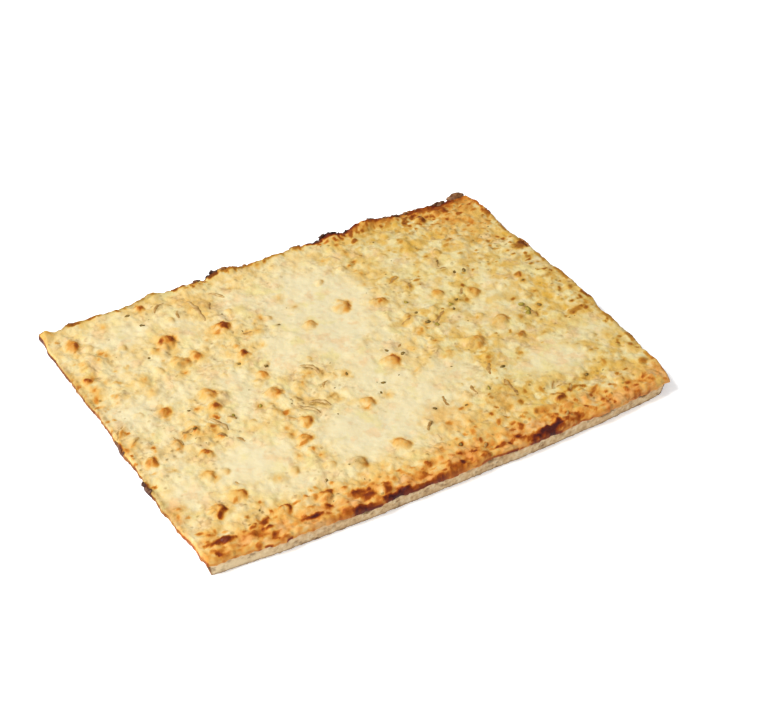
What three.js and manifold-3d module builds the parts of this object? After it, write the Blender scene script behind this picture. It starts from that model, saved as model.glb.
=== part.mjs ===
// A rectangular pan pizza, baked whole in a 40 x 30 cm tray and lifted out of it: a bread dough
// slab under a melted cheese topping. The cheese rose into blisters, carries onion strips, hangs
// over the slab's edge as an uneven lip and burnt into crags where it met the tray's wall.
// Millimetres, +Z up. Plan places run from the tray's middle, X along its long side, and the whole
// is then centred on its box, so the origin is in the middle of the flat underside.
import * as THREE from "three";
import { mergeVertices } from "three/addons/utils/BufferGeometryUtils.js";
import Module from "manifold-3d";

const wasm = await Module();
wasm.setup();

// Driving dimensions
const TRAY_LENGTH = 402; // the cheese's rim along X, between the corners
const TRAY_WIDTH = 301; // the same along Y
const DOUGH_HEIGHT = 12.5;
const CHEESE_HEIGHT = 3.5; // the flat cheese over the dough, before blisters

// Plan outline: how far the middle of each side swells out past the line between its corners
const BOW = { left: 1.5, right: 9, front: 6.5, back: 3.5 };
const BOW_POWER = 3;
const CORNER_PULL = 0.6; // how far each corner is drawn in, each way
const CORNER_POWER = 14;
const EDGE_POWER = 9; // keeps the ragged edge's waves near the edge
const EDGE_WAVES = [
  { height: 0.6, length: 70 },
  { height: 0.4, length: 41 },
];
const RAGGED_WAVE = { height: 0.4, length: 27 }; // only on the cheese's rim

// Dough: rounded edges and sides that lean in towards the floor, as the tray's walls do
const DOUGH_EDGE_RADIUS = 1.4;
const DOUGH_EDGE_STEPS = 2;
const LEAN = { left: 5.5, right: 4.5, front: 0.5, back: 4.5 };
const CAVITY_DEPTH = 2.2;
const CAVITY_HEIGHT = 3;
const CAVITY_LEVEL = 9;
const CAVITY_SIDES = 8;
const CAVITIES = [
  { x: -77, length: 9 },
  { x: 33, length: 7 },
  { x: 142, length: 17 },
  { x: 181, length: 13 },
];

// Cheese: a sheet wider than the dough, cut to it with a small gap
const LIP_REACH = 2;
const LIP_DROP = 1.8; // how far the lip hangs below the dough's top, on average
const LIP_WAVES = [
  { height: 0.6, lengthX: 82, lengthY: 57, phase: 0 },
  { height: 0.4, lengthX: 33, lengthY: -45, phase: 0 },
];
const RIM_ROUND = 3; // width of the rounded shoulder along the rim
const RIM_HEIGHT = 1.8; // height of the rim's outer edge over the dough
const BURIED = 2; // how deep the sheet starts inside the dough, before the cut
const CUT_GAP = 0.3;
const CELL = 12.5; // size of the sheet's facets
const SWELLS = [ // long soft swells, so that the flat parts aren't level
  { height: 0.4, lengthX: 195, lengthY: 170, phase: 0.7 },
  { height: 0.35, lengthX: 107, lengthY: 145, phase: 1.9 },
  { height: 0.3, lengthX: 69, lengthY: -82, phase: 0.4 },
];

// Blisters: the large ones are placed one by one, as x, y and breadth
const BLISTER_RISE = 0.25; // height over the cheese, as a share of the breadth
const BLISTER_SINK = 0.4; // depth of its centre below the cheese, as a share of the rise
const BLISTER_FLARE = 1.1; // breadth at its centre, as a share of the breadth that shows
const BLISTER_SQUEEZE = 0.12; // how far it may be longer one way than the other
const LARGE_SIDES = 8;
const SMALL_SIDES = 6;
const LARGE_BLISTERS = [
  [-118, 90, 16], [-72, 84, 14], [-120, 62, 17], [-105, 62, 10], [-71, 45, 10], [27, 62, 16],
  [-8, 52, 11], [56, 50, 13], [-157, 12, 11], [-119, 13, 15], [-121, -4, 10], [-74, -9, 13],
  [24, -22, 15], [-16, -56, 11], [-69, -53, 11], [-80, -70, 12], [-151, -48, 11], [-190, -36, 11],
  [-165, -27, 11], [-160, -70, 12], [-171, -107, 14], [-151, -100, 12], [-20, -112, 13],
  [-57, -114, 13], [128, -21, 15], [131, -46, 10], [94, -34, 18], [130, 25, 14], [104, 36, 11],
  [147, 137, 13], [113, -126, 11], [-185, 124, 14], [-193, 76, 9], [-128, -130, 10], [-97, -133, 12],
  [170, 141, 15], [-118, 141, 9], [-70, 15, 9], [175, 24, 7],
];

// The small blisters lie on a shaken grid, clear of the large ones and of the smooth pools
const SMALL_PITCH = 40;
const SMALL_SHAKE = 0.8; // share of the pitch
const SMALL_BREADTH = { least: 5.5, most: 9.5 };
const SMALL_CLEARANCE = 2;
const SMALL_MARGIN = 12; // to the rim
const SEED = 4127;
const POOLS = [
  { x: 12, y: 35, length: 95, width: 70 },
  { x: -22, y: -80, length: 80, width: 45 },
  { x: -110, y: -77, length: 60, width: 36 },
  { x: 130, y: -85, length: 45, width: 36 },
  { x: -20, y: 120, length: 90, width: 40 },
];

// Onion strips: place, length, turn from the X axis in degrees, and how far the middle bends
const STRIP_WIDTH = 3;
const STRIP_HEIGHT = 1.8;
const STRIP_PROUD = 0.5; // how high the strip's middle stands over the cheese
const STRIP_SIDES = 4;
const STRIP_STEPS = 4;
const ONION_STRIPS = [
  { x: -79, y: 116, length: 32, turn: -87, bend: 1 },
  { x: -55, y: 128, length: 15, turn: -48, bend: 2 },
  { x: -36, y: 2, length: 18, turn: -60, bend: 4 },
  { x: -60, y: -41, length: 19, turn: -55, bend: 2 },
  { x: -49, y: -38, length: 18, turn: -50, bend: 4 },
  { x: -127, y: -22, length: 20, turn: -72, bend: 1 },
  { x: -151, y: -19, length: 12, turn: 5, bend: 1 },
  { x: 36, y: -85, length: 12, turn: 85, bend: 1 },
  { x: 62, y: -85, length: 12, turn: 85, bend: 1 },
  { x: 89, y: -95, length: 22, turn: 89, bend: 1 },
  { x: 86, y: -70, length: 14, turn: 65, bend: 1 },
  { x: 88, y: 6, length: 22, turn: 42, bend: 2 },
  { x: 123, y: 29, length: 13, turn: 52, bend: 1 },
  { x: 156, y: -22, length: 17, turn: -80, bend: 2 },
  { x: -154, y: 50, length: 18, turn: 75, bend: 3 },
  { x: 82, y: 71, length: 12, turn: 28, bend: 1 },
];

// Burnt crags on the rim: side, place along it, length, and rise over the flat cheese
const CRAG_OUT = 2; // reach past the rim
const CRAG_THICKNESS = 6;
const CRAG_SIDES = 6;
const CRAGS = [
  { side: "back", at: -174, length: 12, rise: 1 },
  { side: "back", at: -81, length: 11, rise: 1.5 },
  { side: "back", at: -47, length: 12, rise: 3 },
  { side: "back", at: -32, length: 15, rise: 2 },
  { side: "back", at: 30, length: 9, rise: 2.5 },
  { side: "back", at: 53, length: 10, rise: 2 },
  { side: "back", at: 67, length: 16, rise: 4.5 },
  { side: "back", at: 83, length: 9, rise: 3 },
  { side: "back", at: 108, length: 16, rise: 3 },
  { side: "back", at: 128, length: 18, rise: 2 },
  { side: "back", at: 150, length: 22, rise: 1.5 },
  { side: "back", at: 171, length: 22, rise: 2.5 },
  { side: "back", at: 193, length: 20, rise: 5 },
  { side: "left", at: -58, length: 15, rise: 1 },
  { side: "left", at: -7, length: 15, rise: 0.8 },
  { side: "right", at: 62, length: 14, rise: 2 },
  { side: "right", at: 121, length: 9, rise: 1.2 },
  { side: "front", at: -48, length: 40, rise: 0.4 },
  { side: "front", at: -78, length: 18, rise: 0.4 },
  { side: "front", at: 79, length: 36, rise: 0.6 },
];

const RINGS_PER_SIDE = 0.6; // of the rounded lumps' facets
const DOUGH_COLOUR = "#d6b98c";
const CHEESE_COLOUR = "#ead08f";

const halfLength = TRAY_LENGTH / 2;
const halfWidth = TRAY_WIDTH / 2;
const columns = Math.round(TRAY_LENGTH / CELL);
const rows = Math.round(TRAY_WIDTH / CELL);

// The same draws each time, from 0 up to 1
function seededRandom(seed) {
  let state = seed;
  return () => {
    state = (Math.imul(state, 1664525) + 1013904223) >>> 0;
    return state / 2 ** 32;
  };
}

// Height of a sum of long waves that cross the plan
function planWaves(waves, x, y) {
  return waves.reduce((sum, wave) => {
    const turns = x / wave.lengthX + y / wave.lengthY;
    return sum + wave.height * Math.sin(2 * Math.PI * turns + wave.phase);
  }, 0);
}

// Height of the ragged edge's waves, with a phase of its own on each side
function edgeWaves(along, side, ragged) {
  const waves = ragged ? [...EDGE_WAVES, RAGGED_WAVE] : EDGE_WAVES;
  return waves.reduce((sum, wave, i) => {
    const phase = (2 + i) * side;
    return sum + wave.height * Math.sin((2 * Math.PI * along) / wave.length + phase);
  }, 0);
}

// Plan place of a point u, v of the square from -1 to 1, with the outline drawn in by an inset
function planPoint(u, v, inset, ragged) {
  const bowX = (u > 0 ? BOW.right : BOW.left) * (1 - Math.abs(v) ** BOW_POWER);
  const bowY = (v > 0 ? BOW.back : BOW.front) * (1 - Math.abs(u) ** BOW_POWER);
  const corner = CORNER_PULL * Math.abs(u * v) ** CORNER_POWER;
  const waveX = edgeWaves(v * halfWidth, u > 0 ? 1 : 2, ragged) * Math.abs(u) ** EDGE_POWER;
  const waveY = edgeWaves(u * halfLength, v > 0 ? 3 : 4, ragged) * Math.abs(v) ** EDGE_POWER;
  return new THREE.Vector2(
    u * (halfLength - inset + bowX) + Math.sign(u) * (waveX - corner),
    v * (halfWidth - inset + bowY) + Math.sign(v) * (waveY - corner),
  );
}

function cheeseLevel(x, y) {
  return DOUGH_HEIGHT + CHEESE_HEIGHT + planWaves(SWELLS, x, y);
}

// Turns a three.js geometry into a solid that can be joined and cut
function solidOf(geometry) {
  geometry.deleteAttribute("normal");
  geometry.deleteAttribute("uv");
  const merged = mergeVertices(geometry);
  return new wasm.Manifold(
    new wasm.Mesh({
      numProp: 3,
      vertProperties: new Float32Array(merged.attributes.position.array),
      triVerts: new Uint32Array(merged.index.array),
    }),
  );
}

function geometryOf(solid) {
  const mesh = solid.getMesh();
  const geometry = new THREE.BufferGeometry();
  geometry.setAttribute("position", new THREE.BufferAttribute(mesh.vertProperties, 3));
  geometry.setIndex(new THREE.BufferAttribute(mesh.triVerts, 1));
  geometry.computeVertexNormals();
  return geometry;
}

// Moves every point of a geometry by a function of its place
function reshape(geometry, place) {
  const positions = geometry.attributes.position;
  const point = new THREE.Vector3();
  for (let i = 0; i < positions.count; i += 1) {
    place(point.fromBufferAttribute(positions, i));
    positions.setXYZ(i, point.x, point.y, point.z);
  }
  return geometry;
}

// An ellipsoid with half sizes in X, Y and Z, turned in plan, with few facets
function ellipsoid(sides, halfX, halfY, halfZ, turn, x, y, z) {
  const geometry = new THREE.SphereGeometry(1, sides, Math.ceil(sides * RINGS_PER_SIDE));
  geometry.rotateX(Math.PI / 2);
  geometry.scale(halfX, halfY, halfZ);
  geometry.rotateZ(turn);
  geometry.translate(x, y, z);
  return solidOf(geometry);
}

// The dough slab, or with a growth the space that the cheese keeps clear
function doughSlab(growth) {
  const inset = LIP_REACH - growth;
  const corners = [[-1, -1], [1, -1], [1, 1], [-1, 1]];
  const outline = [];
  corners.forEach(([u, v], i) => {
    const [nextU, nextV] = corners[(i + 1) % corners.length];
    const steps = v === nextV ? columns : rows;
    for (let step = 0; step < steps; step += 1) {
      const share = step / steps;
      outline.push(planPoint(u + (nextU - u) * share, v + (nextV - v) * share, inset, false));
    }
  });
  const geometry = new THREE.ExtrudeGeometry(new THREE.Shape(outline), {
    depth: DOUGH_HEIGHT + growth - 2 * DOUGH_EDGE_RADIUS,
    steps: 1,
    bevelSize: DOUGH_EDGE_RADIUS,
    bevelThickness: DOUGH_EDGE_RADIUS,
    bevelOffset: -DOUGH_EDGE_RADIUS,
    bevelSegments: DOUGH_EDGE_STEPS,
  });
  geometry.translate(0, 0, DOUGH_EDGE_RADIUS);
  return solidOf(
    reshape(geometry, (point) => {
      const low = 1 - Math.min(point.z / DOUGH_HEIGHT, 1);
      point.x *= 1 - (low * (point.x > 0 ? LEAN.right : LEAN.left)) / halfLength;
      point.y *= 1 - (low * (point.y > 0 ? LEAN.back : LEAN.front)) / halfWidth;
    }),
  );
}

// Hollows in the crumb of the front side, just under the cheese's lip
function cutCavities(slab) {
  return CAVITIES.reduce((dough, cavity) => {
    const face = planPoint(cavity.x / halfLength, -1, LIP_REACH, false);
    const hollow = ellipsoid(
      CAVITY_SIDES, cavity.length / 2, CAVITY_DEPTH, CAVITY_HEIGHT / 2, 0,
      cavity.x, face.y, CAVITY_LEVEL,
    );
    return dough.subtract(hollow);
  }, slab);
}

// Place of a grid line of the sheet: the outermost stay on the rim, the next on its shoulder
function gridLine(t, half, cells) {
  if (Math.abs(t) > 1 - 1 / cells) {
    return Math.sign(t);
  }
  return (t * (1 - RIM_ROUND / half)) / (1 - 2 / cells);
}

function cheeseSheet() {
  const geometry = new THREE.BoxGeometry(2, 2, 2, columns, rows, 1);
  return solidOf(
    reshape(geometry, (point) => {
      const u = gridLine(point.x, halfLength, columns);
      const v = gridLine(point.y, halfWidth, rows);
      const onRim = Math.max(Math.abs(u), Math.abs(v)) === 1;
      const isTop = point.z > 0;
      const place = planPoint(u, v, 0, true);
      point.x = place.x;
      point.y = place.y;
      if (isTop) {
        point.z = onRim ? DOUGH_HEIGHT + RIM_HEIGHT : cheeseLevel(place.x, place.y);
      } else {
        const lipDrop = LIP_DROP + planWaves(LIP_WAVES, place.x, place.y);
        point.z = DOUGH_HEIGHT - (onRim ? lipDrop : BURIED);
      }
    }),
  );
}

// A cap that shows the given breadth at the cheese's level
function blister([x, y, breadth], sides) {
  const rise = breadth * BLISTER_RISE;
  const sink = rise * BLISTER_SINK;
  const halfBreadth = (breadth * BLISTER_FLARE) / 2;
  const squeeze = 1 + BLISTER_SQUEEZE * Math.sin(x + y);
  return ellipsoid(
    sides, halfBreadth * squeeze, halfBreadth / squeeze, rise + sink, x,
    x, y, cheeseLevel(x, y) - sink,
  );
}

function inPool(x, y) {
  return POOLS.some((pool) => {
    const alongX = (x - pool.x) / (pool.length / 2);
    const alongY = (y - pool.y) / (pool.width / 2);
    return Math.hypot(alongX, alongY) < 1;
  });
}

function smallBlisters() {
  const random = seededRandom(SEED);
  const found = [];
  const reachX = halfLength - SMALL_MARGIN;
  const reachY = halfWidth - SMALL_MARGIN;
  for (let y = -reachY; y <= reachY; y += SMALL_PITCH) {
    for (let x = -reachX; x <= reachX; x += SMALL_PITCH) {
      const placeX = x + (random() - 0.5) * SMALL_SHAKE * SMALL_PITCH;
      const placeY = y + (random() - 0.5) * SMALL_SHAKE * SMALL_PITCH;
      const breadth = SMALL_BREADTH.least + random() * (SMALL_BREADTH.most - SMALL_BREADTH.least);
      const isClear = LARGE_BLISTERS.every(([largeX, largeY, largeBreadth]) => {
        const distance = Math.hypot(placeX - largeX, placeY - largeY);
        return distance > (breadth + largeBreadth) / 2 + SMALL_CLEARANCE;
      });
      const isInside = Math.abs(placeX) < reachX && Math.abs(placeY) < reachY;
      if (isClear && isInside && !inPool(placeX, placeY)) {
        found.push([placeX, placeY, breadth]);
      }
    }
  }
  return found;
}

// A bent strip of onion half sunk in the cheese
function onionStrip({ x, y, length, turn, bend }) {
  const angle = THREE.MathUtils.degToRad(turn);
  const along = new THREE.Vector2(Math.cos(angle), Math.sin(angle));
  const onCheese = (reach, side) => {
    const placeX = x + along.x * reach - along.y * side;
    const placeY = y + along.y * reach + along.x * side;
    return new THREE.Vector3(placeX, placeY, cheeseLevel(placeX, placeY) + STRIP_PROUD);
  };
  const path = new THREE.QuadraticBezierCurve3(
    onCheese(-length / 2, 0), onCheese(0, 2 * bend), onCheese(length / 2, 0),
  );
  const section = new THREE.Shape();
  for (let side = 0; side < STRIP_SIDES; side += 1) {
    const sideAngle = (2 * Math.PI * side) / STRIP_SIDES;
    const across = (STRIP_WIDTH / 2) * Math.cos(sideAngle);
    const upright = (STRIP_HEIGHT / 2) * Math.sin(sideAngle);
    if (side === 0) {
      section.moveTo(upright, across);
    } else {
      section.lineTo(upright, across);
    }
  }
  section.closePath();
  return solidOf(new THREE.ExtrudeGeometry(section, { steps: STRIP_STEPS, extrudePath: path }));
}

function rimCrag({ side, at, length, rise }) {
  const alongX = side === "back" || side === "front";
  const outward = side === "back" || side === "right" ? 1 : -1;
  const u = alongX ? at / halfLength : outward;
  const v = alongX ? outward : at / halfWidth;
  const place = planPoint(u, v, CRAG_THICKNESS / 2 - CRAG_OUT, true);
  const halfHeight = (CHEESE_HEIGHT + LIP_DROP + rise) / 2;
  const level = DOUGH_HEIGHT + CHEESE_HEIGHT + rise - halfHeight;
  const sizeX = alongX ? length : CRAG_THICKNESS;
  const sizeY = alongX ? CRAG_THICKNESS : length;
  return ellipsoid(CRAG_SIDES, sizeX / 2, sizeY / 2, halfHeight, 0, place.x, place.y, level);
}

function largestPiece(solid) {
  const pieces = solid.decompose();
  pieces.sort((one, other) => other.volume() - one.volume());
  return pieces[0];
}

function cheeseTopping() {
  const raised = [
    ...LARGE_BLISTERS.map((place) => blister(place, LARGE_SIDES)),
    ...smallBlisters().map((place) => blister(place, SMALL_SIDES)),
    ...ONION_STRIPS.map(onionStrip),
    ...CRAGS.map(rimCrag),
  ];
  const joined = raised.reduce((cheese, piece) => cheese.add(piece), cheeseSheet());
  return largestPiece(joined.subtract(doughSlab(CUT_GAP)));
}

function meshOf(name, solid, colour, roughness) {
  const material = new THREE.MeshStandardMaterial({ color: colour, roughness, metalness: 0 });
  const mesh = new THREE.Mesh(geometryOf(solid), material);
  mesh.name = name;
  return mesh;
}

const pizza = new THREE.Group();
pizza.add(meshOf("dough_base", cutCavities(doughSlab(0)), DOUGH_COLOUR, 0.85));
pizza.add(meshOf("cheese_topping", cheeseTopping(), CHEESE_COLOUR, 0.5));

const boxMiddle = new THREE.Box3().setFromObject(pizza).getCenter(new THREE.Vector3());
pizza.position.set(-boxMiddle.x, -boxMiddle.y, 0);

export default pizza;
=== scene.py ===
"""Pan pizza: the finished bread slab, melted cheese and toppings, on a plain floor in soft light.

Plan places are in millimetres from the middle of the baking tray, X along its long side, as in the
part's source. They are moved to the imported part's frame and turned into metres in one place.
"""
import math

import bpy
import numpy as np
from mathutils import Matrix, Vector, noise


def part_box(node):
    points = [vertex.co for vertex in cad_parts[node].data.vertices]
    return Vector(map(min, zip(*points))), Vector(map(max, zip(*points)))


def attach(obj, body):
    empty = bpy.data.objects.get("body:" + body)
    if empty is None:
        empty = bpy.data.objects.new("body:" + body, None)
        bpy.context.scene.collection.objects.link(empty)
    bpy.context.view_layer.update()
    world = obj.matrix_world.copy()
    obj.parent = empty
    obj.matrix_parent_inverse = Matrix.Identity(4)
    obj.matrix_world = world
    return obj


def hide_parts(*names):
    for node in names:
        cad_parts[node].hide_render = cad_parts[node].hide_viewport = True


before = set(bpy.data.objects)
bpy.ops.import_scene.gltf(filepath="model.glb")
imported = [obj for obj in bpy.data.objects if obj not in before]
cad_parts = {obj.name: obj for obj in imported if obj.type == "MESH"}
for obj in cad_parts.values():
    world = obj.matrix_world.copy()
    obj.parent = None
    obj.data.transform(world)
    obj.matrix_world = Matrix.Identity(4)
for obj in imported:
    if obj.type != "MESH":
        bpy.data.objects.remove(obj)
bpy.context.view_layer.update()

MM = 0.001

# Sizes of the slab and the cheese, as in the part's source
TRAY_LENGTH = 402
TRAY_WIDTH = 301
DOUGH_HEIGHT = 12.5
CHEESE_HEIGHT = 3.5
BOW = {"left": 1.5, "right": 9, "front": 6.5, "back": 3.5}
BOW_POWER = 3
CORNER_PULL = 0.6
CORNER_POWER = 14
EDGE_POWER = 9
EDGE_WAVES = [(0.6, 70), (0.4, 41)]
RAGGED_WAVE = (0.4, 27)
WAVE_SIDE = {"right": 1, "left": 2, "back": 3, "front": 4}  # phase of each side's waves
DOUGH_EDGE_RADIUS = 1.4
LEAN = {"left": 5.5, "right": 4.5, "back": 4.5}
LIP_REACH = 2
LIP_DROP = 1.8
LIP_WAVES = [(0.6, 82, 57, 0), (0.4, 33, -45, 0)]
RIM_ROUND = 3
SWELLS = [(0.4, 195, 170, 0.7), (0.35, 107, 145, 1.9), (0.3, 69, -82, 0.4)]
CAVITY_DEPTH = 2.2
CAVITY_HEIGHT = 3
CAVITY_LEVEL = 9
CAVITIES = [(-77, 9), (33, 7), (142, 17), (181, 13)]
OUTLINE_POINTS = 4000
HALF_LENGTH = TRAY_LENGTH / 2
HALF_WIDTH = TRAY_WIDTH / 2

# Large blisters: x, y, breadth, how far the dome is browned, and how much darker its edge on the side away
# from the light is, browning mixed with painted shade
LARGE_BLISTERS = [
    (-118, 90, 16, 0.6, 0.22), (-72, 84, 14, 0.66, 0.2), (-120, 62, 17, 0.34, 0),
    (-105, 62, 10, 0.46, 0.18), (-71, 45, 10, 0.66, 0.16), (27, 62, 16, 0.34, 0.11),
    (-8, 52, 11, 0.36, 0.04), (56, 50, 13, 0.42, 0.16), (-157, 12, 11, 0.48, 0.14),
    (-119, 13, 15, 0.44, 0.02), (-121, -4, 10, 0.62, 0.14), (-74, -9, 13, 0.38, 0.14),
    (24, -22, 15, 0.4, 0.17), (-16, -56, 11, 0.4, 0.12), (-69, -53, 11, 0.42, 0.16),
    (-80, -70, 12, 0.38, 0.16), (-151, -48, 11, 0.36, 0.3), (-190, -36, 11, 0.44, 0.22),
    (-165, -27, 11, 0.34, 0.12), (-160, -70, 12, 0.28, 0.18), (-171, -107, 14, 0.46, 0.36),
    (-151, -100, 12, 0.36, 0.18), (-20, -112, 13, 0.4, 0.08), (-57, -114, 13, 0.26, 0.34),
    (128, -21, 15, 0.36, 0.06), (131, -46, 10, 0.42, 0.18), (94, -34, 18, 0.34, 0.02),
    (130, 25, 14, 0.38, 0.1), (104, 36, 11, 0.4, 0.08), (147, 137, 13, 0.56, 0.3),
    (113, -126, 11, 0.5, 0.34), (-185, 124, 14, 0.24, 0), (-193, 76, 9, 0.62, 0.12),
    (-128, -130, 10, 0.4, 0.42), (-97, -133, 12, 0.46, 0.22), (170, 141, 15, 0.66, 0.16),
    (-118, 141, 9, 0.48, 0.2), (-70, 15, 9, 0.42, 0.14), (175, 24, 7, 0.46, 0.14),
]

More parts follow.
